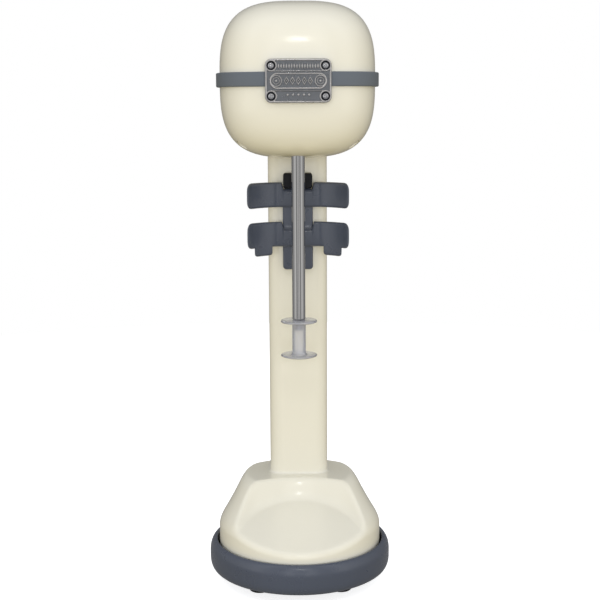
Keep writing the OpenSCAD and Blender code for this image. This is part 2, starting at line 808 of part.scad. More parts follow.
module holder_screws() {
    seat = col_front_y - spine_t + 3.2;
    color(steel) for (z = holder_screw_z) difference() {
        union() {
            y_rod(holder_screw_r, 0, seat - eps, col_inner_front_y + holder_boss_h - 1, z);
            y_rod(4.4, 0, seat - 3, seat, z);
        }
        translate([0, seat - 3 - eps, z]) rotate([-90, 0, 0]) cylinder(r = 2.2, h = 2, $fn = 6);
    }
}

module switch_pad() {
    color(black) union() {
        difference() {
            translate([0, pad_front_y, pad_z]) rotate([-90, 0, 0])
                linear_extrude(pad_t) rounded_rect(spine_w - 1, pad_h, 2);
            translate([-spine_w / 2 - 1, pad_front_y, pad_z + pad_h / 2]) rotate([35, 0, 0])
                translate([0, -8, -3]) cube([spine_w + 2, 8, 8]);
        }
        y_rod(stem_r, 0, pad_front_y + pad_t - 1, clip_y, pad_z);
        y_rod(stem_r - 0.8, 0, clip_y - 0.1, clip_y + 1.3, pad_z);
        y_rod(stem_r, 0, clip_y + 1.2, stem_shoulder_y, pad_z);
        y_rod(stem_tip_r, 0, stem_shoulder_y - eps, stem_end_y, pad_z);
    }
}

module pad_clip() {
    color(steel) translate([0, clip_y + 0.1, pad_z]) rotate([-90, 0, 0]) difference() {
        ring(clip_r, stem_r - 0.8 + 0.02, 1);
        translate([-1.6, -20, -1]) cube([3.2, 20, 4]);
    }
}

function bracket_screw_x() = micro_w / 2 + bracket_t + 4;
function bracket_screw_z() = [micro_z + 5, micro_z + micro_h - 5];
function micro_hole_z() = [micro_z + 3, micro_z + micro_h - 3];

module microswitch_body() {
    color(black) difference() {
        union() {
            translate([-micro_w / 2, micro_front_y, micro_z]) cube([micro_w, micro_d, micro_h]);
            for (s = [-1, 1])
                translate([s * (micro_w / 2 - 0.8) - 0.8, lever_pivot_y - 1.6, lever_pivot_z - 1.6])
                    cube([1.6, 4, 3.2]);
        }
        for (z = micro_hole_z())
            x_rod(micro_screw_r + loose_fit / 3, -micro_w, micro_w, micro_front_y + micro_d - 3, z);
        y_rod(button_r + running_fit, 0, micro_front_y - 1, micro_front_y + 5, button_z);
        x_rod(0.6 + running_fit, -micro_w, micro_w, lever_pivot_y, lever_pivot_z);
    }
}

module microswitch_button() {
    lever_back = lever_face_y(button_z - button_r - lever_pivot_z, 1);
    color("firebrick") y_rod(button_r, 0, lever_back + 0.15, micro_front_y + 3, button_z);
}

module microswitch_lever() {
    arm = 17.5;
    w = 4;
    color(steel) translate([0, lever_pivot_y, lever_pivot_z]) {
        rotate([lever_rest_angle, 0, 0]) translate([-w / 2, -lever_t / 2, 0]) cube([w, lever_t, arm]);
        x_rod(0.6, -micro_w / 2 + 0.1, micro_w / 2 - 0.1, 0, 0);
    }
}

module microswitch_bracket() {
    x0 = micro_w / 2;
    color(steel) difference() {
        union() {
            translate([x0, col_inner_front_y, micro_z])
                cube([bracket_t, micro_front_y + micro_d - col_inner_front_y, micro_h]);
            translate([x0, col_inner_front_y, micro_z]) cube([9, bracket_t, micro_h]);
        }
        for (z = micro_hole_z())
            x_rod(micro_screw_r + thread_fit, x0 - 1, x0 + bracket_t + 1, micro_front_y + micro_d - 3, z);
        for (z = bracket_screw_z())
            y_rod(micro_screw_r + loose_fit, bracket_screw_x(),
                col_inner_front_y - 1, col_inner_front_y + 3, z);
    }
}

module microswitch_screws() {
    color(steel) for (z = micro_hole_z()) {
        x_rod(micro_screw_r, -micro_w / 2 - eps, micro_w / 2 + bracket_t + 1.5,
            micro_front_y + micro_d - 3, z);
        x_rod(2.7, -micro_w / 2 - 1.8, -micro_w / 2, micro_front_y + micro_d - 3, z);
    }
}

module bracket_screws() {
    face = col_inner_front_y + bracket_t;
    color(steel) for (z = bracket_screw_z()) {
        y_rod(micro_screw_r, bracket_screw_x(), col_front_y + 1.2, face + eps, z);
        y_rod(2.7, bracket_screw_x(), face, face + 1.8, z);
    }
}

// ---------------------------------------------------------------- head

// Copies its child at the four screws that join the head shells
module at_cover_screws() {
    for (x = [-cover_screw_x, cover_screw_x], y = [cover_screw_front_y, cover_screw_rear_y])
        translate([x, y, 0]) children();
}

module at_motor_mounts() {
    for (a = [45 : 90 : 315]) translate([mount_r * cos(a), spindle_y + mount_r * sin(a), 0]) children();
}

module plate_screw_holes() {
    for (x = [-plate_screw_x, plate_screw_x], z = [plate_z - plate_screw_z, plate_z + plate_screw_z])
        y_rod(plate_screw_r + thread_fit, x, head_y - head_b - 10, head_front_y(x, 0) + head_wall + 6, z);
}

// Screw boss with draft, from z1 to z2
module drafted_boss(z1, z2, r1, r2) {
    hull() {
        translate([0, 0, z1]) cylinder(r = r1, h = 1, $fn = 32);
        translate([0, 0, z2 - 1]) cylinder(r = r2, h = 1, $fn = 32);
    }
}

module motor_housing() {
    $fn = 32;
    vent_w = 3;
    vent_h = 20.6;
    vent_pitch = 6.3;
    color(cream) difference() {
        head_half(0, -1);
        difference() {
            head_half(head_wall, -1);
            at_cover_screws() drafted_boss(head_low_z, head_z + 1, 6.6, 6);
            at_motor_mounts() translate([0, 0, head_low_z]) rotate(mount_boss_turn)
                cylinder(r = mount_boss_r, h = boss_top_z - head_low_z, $fn = 24);
            for (x = [-neck_boss_x, neck_boss_x]) translate([x, col_y, head_low_z])
                cylinder(r = neck_boss_r, h = col_top_z - head_low_z);
            translate([0, spindle_y, head_low_z])
                cylinder(r = bushing_r + 4, h = bushing_z + bushing_h - 1 - head_low_z);
        }
        translate([0, col_y, head_low_z - 5]) linear_extrude(col_top_z - head_low_z + 5)
            rounded_rect(col_w + loose_fit, col_d + loose_fit, col_corner + loose_fit / 2);
        translate([0, spindle_y, bushing_z]) cylinder(r = bushing_r + loose_fit / 6, h = 2 * bushing_h);
        translate([0, spindle_y, head_low_z - 1])
            cylinder(r = spindle_d / 2 + loose_fit, h = bushing_z - head_low_z + 2, $fn = 24);
        at_cover_screws() translate([0, 0, head_low_z - 1])
            cylinder(r = 4.3, h = head_c - cover_screw_seat + 1);
        at_cover_screws() translate([0, 0, head_low_z])
            cylinder(r = cover_screw_r + loose_fit, h = head_c + 2);
        at_motor_mounts() translate([0, 0, boss_top_z - 12]) cylinder(r = 2 + thread_fit, h = 14);
        for (x = [-neck_boss_x, neck_boss_x]) translate([x, col_y, col_top_z - 11])
            cylinder(r = 2 + thread_fit, h = 14);
        for (i = [-3 : 3]) hull() for (z = [head_z - 36, head_z - 36 + vent_h])
            y_rod(vent_w / 2, i * vent_pitch, head_y + head_b - 12, head_y + head_b + 8, z);
        plate_screw_holes();
    }
}

// Web that ties a screw boss to the nearest side wall
module boss_web(x, y) {
    hull() {
        translate([x, y - 1, head_z + 4]) cube([1, 2, head_c]);
        translate([sign(x) * (head_a - head_wall), y - 1, head_z + 14]) cube([1, 2, head_c]);
    }
}

module motor_cover() {
    $fn = 32;
    color(cream) difference() {
        head_half(0, 1);
        difference() {
            head_half(head_wall, 1);
            at_cover_screws() drafted_boss(head_z - 1, total_h, 4.6, 5.8);
            for (x = [-cover_screw_x, cover_screw_x], y = [cover_screw_front_y, cover_screw_rear_y])
                boss_web(x, y);
        }
        translate([-2 * head_a, head_y - 2 * head_b, head_z - 2]) cube([4 * head_a, 4 * head_b, 2 + eps]);
        at_cover_screws() translate([0, 0, head_z - 1])
            cylinder(r = cover_screw_r + thread_fit, h = cover_screw_depth + 2);
        plate_screw_holes();
    }
}

module cover_screws() {
    seat = head_z - cover_screw_seat;
    color(steel) at_cover_screws() difference() {
        union() {
            translate([0, 0, seat - 3]) cylinder(r = cover_screw_head_r, h = 3);
            translate([0, 0, seat - eps])
                cylinder(r = cover_screw_r, h = cover_screw_seat + cover_screw_depth);
        }
        translate([0, 0, seat - 3 - eps]) cylinder(r = 1.8, h = 2, $fn = 6);
    }
}

module trim_band() {
    color(band_grey) translate([0, 0, head_z - band_h / 2]) linear_extrude(band_h) difference() {
        polygon(head_outline(band_proud));
        polygon(head_outline(0.05));
    }
}

// The nameplate's outline on its face, seen from the front
module plate_face(inset, depth) {
    translate([0, head_y - head_b - 12, plate_z]) rotate([-90, 0, 0])
        linear_extrude(depth) rounded_rect(plate_w - 2 * inset, plate_h - 2 * inset, 5 - inset / 2);
}

module plate_strip(back, front) {
    steps = 14;
    reach = plate_w / 2 + 2;
    translate([0, 0, plate_z - plate_h / 2 - 1]) linear_extrude(plate_h + 2) polygon(concat(
        [for (i = [-steps : steps]) [reach * i / steps, head_front_y(reach * i / steps, front)]],
        [for (i = [steps : -1 : -steps]) [reach * i / steps, head_front_y(reach * i / steps, back)]]
    ));
}

module nameplate() {
    color(pewter) difference() {
        intersection() {
            plate_strip(plate_back, plate_front);
            plate_face(0, 30);
        }
        difference() {
            intersection() {
                plate_strip(plate_front - 0.8, plate_front + 1);
                plate_face(1.5, 30);
            }
            translate([0, head_y - head_b - 12, plate_z]) rotate([-90, 0, 0]) linear_extrude(30)
                difference() {
                    rounded_rect(plate_w - 7, 12.5, 6.2);
                    rounded_rect(plate_w - 9.4, 10.1, 5);
                }
        }
        translate([0, 0, head_z - band_h / 2 - 0.1]) linear_extrude(band_h + 0.2)
            polygon(head_outline(band_proud + 0.05));
        for (x = [-plate_screw_x, plate_screw_x], z = [plate_z - plate_screw_z, plate_z + plate_screw_z]) {
            y_rod(plate_screw_r + loose_fit, x, head_y - head_b - 12, head_y, z);
            y_rod(3.5, x, head_y - head_b - 12, head_front_y(x, plate_front) + 2, z);
        }
    }
}

module nameplate_screws() {
    color(pewter) for (x = [-plate_screw_x, plate_screw_x],
            z = [plate_z - plate_screw_z, plate_z + plate_screw_z]) {
        seat = head_front_y(x, plate_front) + 2;
        difference() {
            union() {
                y_rod(plate_head_r, x, seat - 1.7, seat, z);
                y_rod(plate_screw_r, x, seat - eps, head_front_y(x, 0) + head_wall + 3, z);
            }
            translate([x - 0.3, seat - 2, z - 1.5]) cube([0.6, 1, 3]);
            translate([x - 1.5, seat - 2, z - 0.3]) cube([3, 1, 0.6]);
        }
    }
}

// ---------------------------------------------------------------- motor

module spindle_bushing() {
    color(brass) on_motor() translate([0, 0, bushing_z])
        ring(bushing_r, spindle_d / 2 + running_fit, bushing_h);
}

module motor_mount_grommets() {
    color(black) at_motor_mounts() translate([0, 0, boss_top_z]) ring(5, 2 + loose_fit, grommet_h);
}

module motor_mount_screws() {
    top = lower_frame_z + lower_frame_t;
    color(steel) at_motor_mounts() {
        translate([0, 0, top]) cylinder(r = 3.8, h = 2.4);
        translate([0, 0, boss_top_z - 10]) cylinder(r = 2, h = top - boss_top_z + 10 + eps);
    }
}

module lower_end_frame() {
    post_h = stack_z - lower_frame_z - lower_frame_t;
    color(steel) difference() {
        union() {
            on_motor() translate([0, 0, lower_frame_z]) cylinder(r = stator_d / 2 - 1, h = lower_frame_t);
            at_motor_mounts() translate([0, 0, lower_frame_z]) cylinder(r = 5.5, h = lower_frame_t);
            on_motor() translate([0, 0, lower_bearing_z - 1.5])
                cylinder(r = frame_boss_r, h = lower_frame_z - lower_bearing_z + 1.5 + eps);
            for (x = [-bolt_x, bolt_x]) translate([x, spindle_y, lower_frame_z])
                cylinder(r = post_r, h = lower_frame_t + post_h);
        }
        on_motor() translate([0, 0, lower_bearing_z]) cylinder(r = bearing_d / 2, h = 20);
        on_motor() translate([0, 0, lower_bearing_z - 3]) cylinder(r = shaft_r + 1.5, h = 10);
        at_motor_mounts() translate([0, 0, lower_frame_z - 1])
            cylinder(r = 2 + loose_fit, h = lower_frame_t + 2);
        for (x = [-bolt_x, bolt_x]) translate([x, spindle_y, lower_frame_z - 1])
            cylinder(r = bolt_r + thread_fit, h = lower_frame_t + post_h + 2);
        for (a = [0 : 90 : 270]) on_motor() translate([0, 0, lower_frame_z - 1]) rotate(a)
            ring_piece(21.5, frame_boss_r + 2, lower_frame_t + 2, -22, 22);
    }
}

module upper_end_frame() {
    post_h = upper_frame_z - stack_top_z;
    boss_h = 9.5;
    color(steel) difference() {
        union() {
            translate([0, spindle_y, upper_frame_z]) linear_extrude(upper_frame_t)
                rounded_rect(2 * bolt_x + 8, 2 * frame_boss_r, 5);
            on_motor() translate([0, 0, upper_frame_z]) cylinder(r = frame_boss_r, h = boss_h);
            for (x = [-bolt_x, bolt_x]) translate([x, spindle_y, stack_top_z])
                cylinder(r = post_r, h = post_h + upper_frame_t);
            translate([0, spindle_y, upper_frame_z]) linear_extrude(upper_frame_t)
                rounded_rect(16, 2 * brush_out_r, 3);
        }
        on_motor() translate([0, 0, upper_bearing_z - 20]) cylinder(r = shaft_r + 1.5, h = 40);
        on_motor() translate([0, 0, upper_bearing_z]) cylinder(r = bearing_d / 2, h = bearing_h + 0.2);
        for (x = [-bolt_x, bolt_x]) translate([x, spindle_y, stack_top_z - 1])
            cylinder(r = bolt_r + loose_fit / 3, h = post_h + upper_frame_t + 2);
    }
}

module motor_through_bolts() {
    top = upper_frame_z + upper_frame_t;
    color(steel) for (x = [-bolt_x, bolt_x]) translate([x, spindle_y, 0]) {
        translate([0, 0, top]) cylinder(r = 3.5, h = 2.8, $fn = 6);
        translate([0, 0, lower_frame_z]) cylinder(r = bolt_r, h = top - lower_frame_z + eps);
    }
}

module bearing(z) {
    race = 2.2;
    on_motor() translate([0, 0, z]) union() {
        ring(bearing_d / 2, bearing_d / 2 - race, bearing_h);
        ring(shaft_r + running_fit + race, shaft_r + running_fit, bearing_h);
        translate([0, 0, 0.5])
            ring(bearing_d / 2 - race + eps, shaft_r + running_fit + race - eps, bearing_h - 1);
    }
}

module lower_bearing() {
    color(steel) bearing(lower_bearing_z);
}

module upper_bearing() {
    color(steel) bearing(upper_bearing_z);
}

module stator_core() {
    tip_r = armature_d / 2 + 0.6;
    color(iron) on_motor() translate([0, 0, stack_z]) difference() {
        union() {
            ring(stator_d / 2, stator_d / 2 - yoke_t, stack_h);
            for (a = [0, 180]) rotate(a) {
                ring_piece(stator_d / 2 - yoke_t + 1, tip_r, stack_h, -38, 38);
                ring_piece(tip_r + 1.4, tip_r, stack_h, -66, 66);
            }
        }
        for (x = [-bolt_x, bolt_x]) translate([x, 0, -1])
            cylinder(r = bolt_r + loose_fit / 3, h = stack_h + 2);
    }
}

module stator_coils() {
    r_out = bolt_x - post_r - loose_fit;
    r_in = armature_d / 2 + 2.2;
    color(copper) on_motor() for (a = [0, 180]) rotate(a) {
        for (s = [-1, 1]) translate([0, 0, stack_z - winding_h])
            ring_piece(r_out, r_in, stack_h + 2 * winding_h, s < 0 ? -64 : 41, s < 0 ? -41 : 64);
        for (z = [stack_z - winding_h, stack_top_z + 0.2]) translate([0, 0, z])
            ring_piece(r_out, r_in, winding_h - 0.2, -64, 64);
    }
}

module brush_holders() {
    h = upper_frame_z - commutator_z + 1;
    color(nylon) on_motor() for (s = [-1, 1]) scale([1, s, 1]) difference() {
        translate([-6, commutator_r + 2, commutator_z - 1]) cube([12, brush_out_r - commutator_r - 2, h]);
        translate([-3.3, commutator_r, commutator_z + 2.7])
            cube([6.6, brush_out_r - commutator_r - 1.5, 6.6]);
    }
}

module carbon_brushes() {
    color(black) on_motor() for (s = [-1, 1]) scale([1, s, 1])
        translate([-3, 0, commutator_z + 3]) difference() {
            translate([0, commutator_r - 1, 0]) cube([6, 8, 6]);
            translate([3, 0, -1]) cylinder(r = brush_in_r, h = 8);
        }
}

module brush_springs() {
    from = commutator_r + 7;
    to = brush_out_r - 1.5;
    turns = 4;
    pitch = (to - from - 0.8) / turns;
    color(steel) on_motor() for (s = [-1, 1]) scale([1, s, 1])
        translate([0, from, commutator_z + 6]) rotate([-90, 0, 0]) {
            for (i = [0 : turns]) translate([0, 0, i * pitch]) ring(2.6, 1.8, 0.8);
            for (i = [0 : turns - 1]) rotate(180 * i) translate([1.8, -0.4, i * pitch])
                cube([0.8, 0.8, pitch + 0.8]);
        }
}

module armature_core() {
    slots = 12;
    r = armature_d / 2;
    color(iron) on_motor() translate([0, 0, stack_z]) difference() {
        cylinder(r = r, h = stack_h);
        translate([0, 0, -1]) cylinder(r = shaft_r, h = stack_h + 2);
        for (i = [0 : slots - 1]) rotate(360 * i / slots)
            translate([r - 5, -0.9, -1]) cube([6, 1.8, stack_h + 2]);
    }
}

module armature_windings() {
    slots = 12;
    r = armature_d / 2;
    color(copper) on_motor() {
        for (z = [stack_z - winding_h, stack_top_z]) translate([0, 0, z])
            rotate_extrude() polygon(concat(
                [[shaft_r + 0.5, 0]],
                curve([r - 5, 0], [r - 1.8, 0], [r - 1.8, winding_h / 2], 4),
                curve([r - 1.8, winding_h / 2], [r - 1.8, winding_h], [r - 5, winding_h], 4),
                [[shaft_r + 0.5, winding_h]]
            ));
        for (i = [0 : slots - 1]) rotate(360 * i / slots)
            translate([r - 4.8, -0.7, stack_z - eps]) cube([3.4, 1.4, stack_h + 2 * eps]);
    }
}

module commutator() {
    bars = 24;
    color(copper) on_motor() translate([0, 0, commutator_z]) difference() {
        union() {
            cylinder(r = commutator_r, h = commutator_h);
            translate([0, 0, -2.6]) cylinder(r = commutator_r - 1.5, h = 3);
        }
        translate([0, 0, -4]) cylinder(r = shaft_r, h = commutator_h + 8);
        for (i = [0 : bars - 1]) rotate(360 * (i + 0.5) / bars)
            translate([commutator_r - 0.6, -0.15, -1]) cube([1, 0.3, commutator_h + 2]);
    }
}

module cooling_fan() {
    blades = 9;
    color(nylon) on_motor() translate([0, 0, fan_z]) difference() {
        union() {
            cylinder(r = shaft_r + 3.5, h = fan_h);
            cylinder(r = fan_r - 3, h = 1);
            for (i = [0 : blades - 1]) rotate(360 * i / blades)
                translate([shaft_r + 2, -0.6, 0.5]) cube([fan_r - shaft_r - 2.2, 1.2, fan_h - 0.5]);
        }
        translate([0, 0, -1]) cylinder(r = shaft_r, h = fan_h + 2);
    }
}

module motor_shaft() {
    top = upper_bearing_z + bearing_h + 1;
    color(steel) on_motor() translate([0, 0, shaft_end_z]) cylinder(r = shaft_r, h = top - shaft_end_z);
}

module spindle_coupling() {
    color(brass) on_motor() translate([0, 0, coupling_z]) difference() {
        cylinder(r = coupling_r, h = coupling_h);
        translate([0, 0, -1]) cylinder(r = spindle_d / 2, h = shaft_end_z - coupling_z + 1);
        translate([0, 0, 1]) cylinder(r = shaft_r, h = coupling_h);
        for (z = [3, coupling_h - 3]) translate([0, 0, z]) rotate([0, 90, 0]) cylinder(r = 1.2, h = 20);
    }
}

// ---------------------------------------------------------------- spindle

module spindle() {
    top = shaft_end_z - 0.5;
    color(steel) on_motor() union() {
        translate([0, 0, spindle_end_z]) cylinder(r = spindle_d / 2, h = top - spindle_end_z);
        translate([0, 0, spindle_end_z - stud_h]) cylinder(r = stud_r, h = stud_h + 1);
    }
}

module agitator() {
    hub_r = 5.7;
    r = disc_d / 2;
    top = spindle_end_z - 0.8;
    low = top - disc_pitch;
    color(clear_white) on_motor() difference() {
        rotate_extrude() polygon(concat(
            [[0, low - 2.6]],
            [[hub_r, low - 2.6], [hub_r + 4, low - 1.8]],
            curve([r - 1, low - 0.4], [r, low - 0.2], [r, low + 0.6], 3),
            curve([r, low + 0.8], [r - 0.4, low + 1.6], [r - 1.4, low + 1.6], 3),
            [[hub_r, low + 0.4], [hub_r, top - 1.6]],
            curve([r - 1.4, top - 1.6], [r, top - 1.6], [r, top - 0.8], 3),
            curve([r, top - 0.6], [r, top + 0.6], [r - 1.2, top + 0.6], 3),
            [[hub_r, top + 0.8], [0, top + 0.8]]
        ));
        translate([0, 0, spindle_end_z - stud_h - 0.5]) cylinder(r = stud_r + thread_fit, h = stud_h + 2);
    }
}

// ---------------------------------------------------------------- leads

// Tube of radius r along a list of points, with sides flat to the bisecting planes
function unit(v) = v / norm(v);
function path_way(p, i) =
    unit((i < len(p) - 1 ? unit(p[i + 1] - p[i]) : [0, 0, 0]) + (i > 0 ? unit(p[i] - p[i - 1]) : [0, 0, 0]));
function path_side(way) = unit(cross(way, abs(way[2]) > 0.8 ? [1, 0.2, 0] : [0.1, 0.2, 1]));

module tube(p, r) {
    sides = 8;
    side = path_side(path_way(p, 0));
    points = [
        for (i = [0 : len(p) - 1])
            let (w = path_way(p, i), u = unit(side - w * (side * w)), v = cross(w, u))
            for (k = [0 : sides - 1])
                p[i] + r * (u * cos(360 * k / sides) + v * sin(360 * k / sides))
    ];
    polyhedron(points = points, faces = ring_faces(len(p), sides));
}

// Rounds the corners of a route
function smooth_route(p, steps = 4) = concat(
    [p[0]],
    [for (i = [1 : len(p) - 2], k = [i == 1 ? 0 : 1 : steps])
        bend((p[i - 1] + p[i]) / 2, p[i], (p[i] + p[i + 1]) / 2, k / steps)],
    [p[len(p) - 1]]
);

module mains_leads() {
    block_y = 2 + 16;
    riser_y = col_y - 2;
    color("dimgray") for (s = [-1, 1]) {
        tube(smooth_route([
            [s * 1.6, base_r - 17, gland_z], [s * 1.6, base_r - 26, gland_z],
            [s * 3, base_r - 34, ballast_top_z + 6], [s * 10, block_y + 8, ballast_top_z + 4],
            [s * 10, block_y + 0.2, ballast_top_z + 4]
        ]), lead_r);
        tube(smooth_route([
            [s * 10, 1.8, ballast_top_z + 4], [s * 10, -6, ballast_top_z + 6],
            [s * 16, -2, ballast_top_z + 20], [s * 8, riser_y - 14, ballast_top_z + 34],
            [s * 2.5, riser_y, cover_top_z - 24], [s * 2.5, riser_y, cover_top_z + 10],
            [s * 3, riser_y + 3, cover_top_z + 60], [s * 3, col_inner_rear_y - 12, rocker_z - 50],
            [s * 3, col_rear_y - rocker_depth + 1, rocker_z - 20],
            [s * 3, col_rear_y + panel_t - rocker_depth - 3, rocker_z - 6],
            [s * 3, col_rear_y + panel_t - rocker_depth - 0.2, rocker_z - 3]
        ]), lead_r);
    }
}

module motor_leads() {
    behind = col_y + 2;
    past_switch_y = micro_front_y + micro_d + lead_r + 1.4;
    color("brown") for (s = [-1, 1]) tube(smooth_route([
        [s * 3, col_rear_y + panel_t - rocker_depth - 0.2, rocker_z + 4],
        [s * 3, col_rear_y + panel_t - rocker_depth - 4, rocker_z + 6],
        [s * 5, past_switch_y, micro_z - 8], [s * 4, past_switch_y, micro_z + micro_h + 6],
        [s * 3, behind, col_top_z - 20], [s * 3, behind, col_top_z + 14],
        [s * 10, col_y - 12, head_z + 8], [s * 12, spindle_y + 34, commutator_z + 6],
        [s * 9, spindle_y + 29, commutator_z + 8], [s * 4, spindle_y + brush_out_r + 1.4, commutator_z + 8]
    ]), lead_r);
}

rubber_feet();
foot_screws();
base_tray();
ballast();
base_cover();
column_mount_plate();
spacer_tubes();
column_tie_bolts();
cord_gland();
terminal_block();
suppressor_capacitor();
column();
rear_panel();
panel_screws();
rocker_housing();
speed_rocker();
neck_plate();
neck_screws();
cup_holder();
holder_screws();
switch_pad();
pad_clip();
microswitch_body();
microswitch_button();
microswitch_lever();
microswitch_bracket();
microswitch_screws();
bracket_screws();
motor_housing();
motor_cover();
cover_screws();
trim_band();
nameplate();
nameplate_screws();
spindle_bushing();
motor_mount_grommets();
motor_mount_screws();
lower_end_frame();
upper_end_frame();
motor_through_bolts();
lower_bearing();
upper_bearing();
stator_core();
stator_coils();
brush_holders();
brush_springs();
carbon_brushes();
armature_core();
armature_windings();
commutator();
cooling_fan();
motor_shaft();
spindle_coupling();
spindle();
agitator();
mains_leads();
motor_leads();
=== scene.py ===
import json
import math

import bmesh
import bpy
import numpy as np
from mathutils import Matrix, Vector


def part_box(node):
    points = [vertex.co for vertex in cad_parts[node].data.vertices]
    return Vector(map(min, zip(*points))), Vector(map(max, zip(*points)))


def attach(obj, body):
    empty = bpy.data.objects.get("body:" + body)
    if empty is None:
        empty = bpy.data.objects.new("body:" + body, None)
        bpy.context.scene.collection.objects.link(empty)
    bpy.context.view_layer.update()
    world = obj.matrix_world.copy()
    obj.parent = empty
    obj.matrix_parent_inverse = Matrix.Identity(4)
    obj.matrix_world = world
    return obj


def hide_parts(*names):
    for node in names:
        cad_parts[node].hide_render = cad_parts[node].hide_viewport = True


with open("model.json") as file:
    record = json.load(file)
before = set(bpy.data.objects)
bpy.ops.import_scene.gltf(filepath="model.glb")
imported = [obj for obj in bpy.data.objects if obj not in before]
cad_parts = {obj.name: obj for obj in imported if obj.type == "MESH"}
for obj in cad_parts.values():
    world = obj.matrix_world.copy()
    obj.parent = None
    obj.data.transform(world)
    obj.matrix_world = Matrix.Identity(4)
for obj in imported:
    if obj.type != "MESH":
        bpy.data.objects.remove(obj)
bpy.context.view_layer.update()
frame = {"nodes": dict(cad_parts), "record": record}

MM = 0.001
scene = bpy.context.scene


# ------------------------------------------------------------------ numbers from the CAD boxes

def box_mm(node):
    """Lowest and highest corner of a CAD node in millimetres."""
    low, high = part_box(node)
    return [c / MM for c in low], [c / MM for c in high]


FEET_HIGH = box_mm("rubber_feet")[1]
COLUMN_LOW, COLUMN_HIGH = box_mm("column")
PANEL_LOW, PANEL_HIGH = box_mm("rear_panel")
TOP_LOW, TOP_HIGH = box_mm("motor_cover")
BAND_LOW, BAND_HIGH = box_mm("trim_band")
HOLDER_LOW, HOLDER_HIGH = box_mm("cup_holder")
PAD_LOW, PAD_HIGH = box_mm("switch_pad")
SPINDLE_LOW, SPINDLE_HIGH = box_mm("spindle")
AGITATOR_LOW, AGITATOR_HIGH = box_mm("agitator")
ROCKER_LOW, ROCKER_HIGH = box_mm("speed_rocker")
SOCKET_LOW, SOCKET_HIGH = box_mm("rocker_housing")
GLAND_LOW, GLAND_HIGH = box_mm("cord_gland")

# head
HEAD_A = TOP_HIGH[0]
HEAD_B = (TOP_HIGH[1] - TOP_LOW[1]) / 2
HEAD_Y = (TOP_HIGH[1] + TOP_LOW[1]) / 2
HEAD_Z = (BAND_LOW[2] + BAND_HIGH[2]) / 2
HEAD_C = 500.0 - HEAD_Z
PLAN_N = 3.0
SIDE_N = 3.15
SHELL = 3.0
HEAD_LOW_Z = HEAD_Z - HEAD_C

# column and base
COL_W = COLUMN_HIGH[0] - COLUMN_LOW[0]
COL_D = COLUMN_HIGH[1] - COLUMN_LOW[1]
COL_Y = (COLUMN_HIGH[1] + COLUMN_LOW[1]) / 2
COL_FRONT = COLUMN_LOW[1]
COL_REAR = COLUMN_HIGH[1]
COL_CORNER = 12.0
COL_WALL = 3.5
BASE_R = 79.5
LIP_Z = 37.0
TRAY_Z = FEET_HIGH[2]
LEDGE_Z = TRAY_Z + 9.5
COVER_R = BASE_R - 8.5
COVER_TOP = LIP_Z + 51.0
PLATEAU_Z = COVER_TOP - 0.5
SHOULDER_Z = LIP_Z + 21.0
PLATEAU_Y = COL_Y - 16.5
PLATEAU_R = math.hypot(COL_W / 2 - 0.293 * COL_CORNER, COL_D / 2 + 16.5 - 0.293 * COL_CORNER) + 9.0
SCOOP_R = 58.0
SCOOP_Y = COL_FRONT - 19.5 - SCOOP_R
SCOOP_FOOT = COVER_TOP - 18.0
EDGE_ROUND = 5.0
APRON_SLOPE = (SCOOP_FOOT - LIP_Z - 9.3) / (SCOOP_Y + SCOOP_R - (EDGE_ROUND - COVER_R))
RISER_SLOPE = 1.4

SPINDLE_Y = (SPINDLE_LOW[1] + SPINDLE_HIGH[1]) / 2
SPINDLE_R = (SPINDLE_HIGH[0] - SPINDLE_LOW[0]) / 2
SPINDLE_END = 237.5


# ------------------------------------------------------------------ shapes of the head and the cover

def signed_pow(v, e):
    return math.copysign(abs(v) ** e, v)


def head_front_y(x, off=0.0):
    """Front face of the head at x, grown by off."""
    t = max(1 - (abs(x) / (HEAD_A + off)) ** PLAN_N, 0)
    return HEAD_Y - (HEAD_B + off) * t ** (1 / PLAN_N)


def head_point(angle, tilt, wall=0.0):
    """Point of the head's skin in a true direction: angle in plan, tilt above the parting plane."""
    ca, sa = math.cos(angle), math.sin(angle)
    plan = (abs(ca) ** PLAN_N + abs(sa) ** PLAN_N) ** (-1 / PLAN_N)
    ct, st = math.cos(tilt), math.sin(tilt)
    side = (abs(ct) ** SIDE_N + abs(st) ** SIDE_N) ** (-1 / SIDE_N)
    return ((HEAD_A - wall) * plan * ca * side * ct,
            HEAD_Y + (HEAD_B - wall) * plan * sa * side * ct,
            HEAD_Z + (HEAD_C - wall) * side * st)


def head_normal(x, y, z):
    """Outward normal of the head's skin."""
    u, v, w = x / HEAD_A, (y - HEAD_Y) / HEAD_B, (z - HEAD_Z) / HEAD_C
    q = abs(u) ** PLAN_N + abs(v) ** PLAN_N
    k = SIDE_N / PLAN_N
    outer = k * q ** (k - 1) * PLAN_N if q > 1e-9 else 0.0
    n = Vector((outer * signed_pow(u, PLAN_N - 1) / HEAD_A,
                outer * signed_pow(v, PLAN_N - 1) / HEAD_B,
                SIDE_N * signed_pow(w, SIDE_N - 1) / HEAD_C))
    return n.normalized()


def head_outline(off, count):
    pts = []
    for i in range(count):
        a = 2 * math.pi * i / count
        ca, sa = math.cos(a), math.sin(a)
        r = (abs(ca) ** PLAN_N + abs(sa) ** PLAN_N) ** (-1 / PLAN_N)
        pts.append(((HEAD_A + off) * r * ca, HEAD_Y + (HEAD_B + off) * r * sa))
    return pts


def soft_min(a, b, k):
    return min(a, b) - max(k - abs(a - b), 0) ** 2 / (4 * k)


def soft_max(a, b, k):
    return max(a, b) + max(k - abs(a - b), 0) ** 2 / (4 * k)


def ray_to(r, t):
    b = PLATEAU_Y * math.sin(t)
    return math.sqrt(r * r - PLATEAU_Y * PLATEAU_Y + b * b) - b


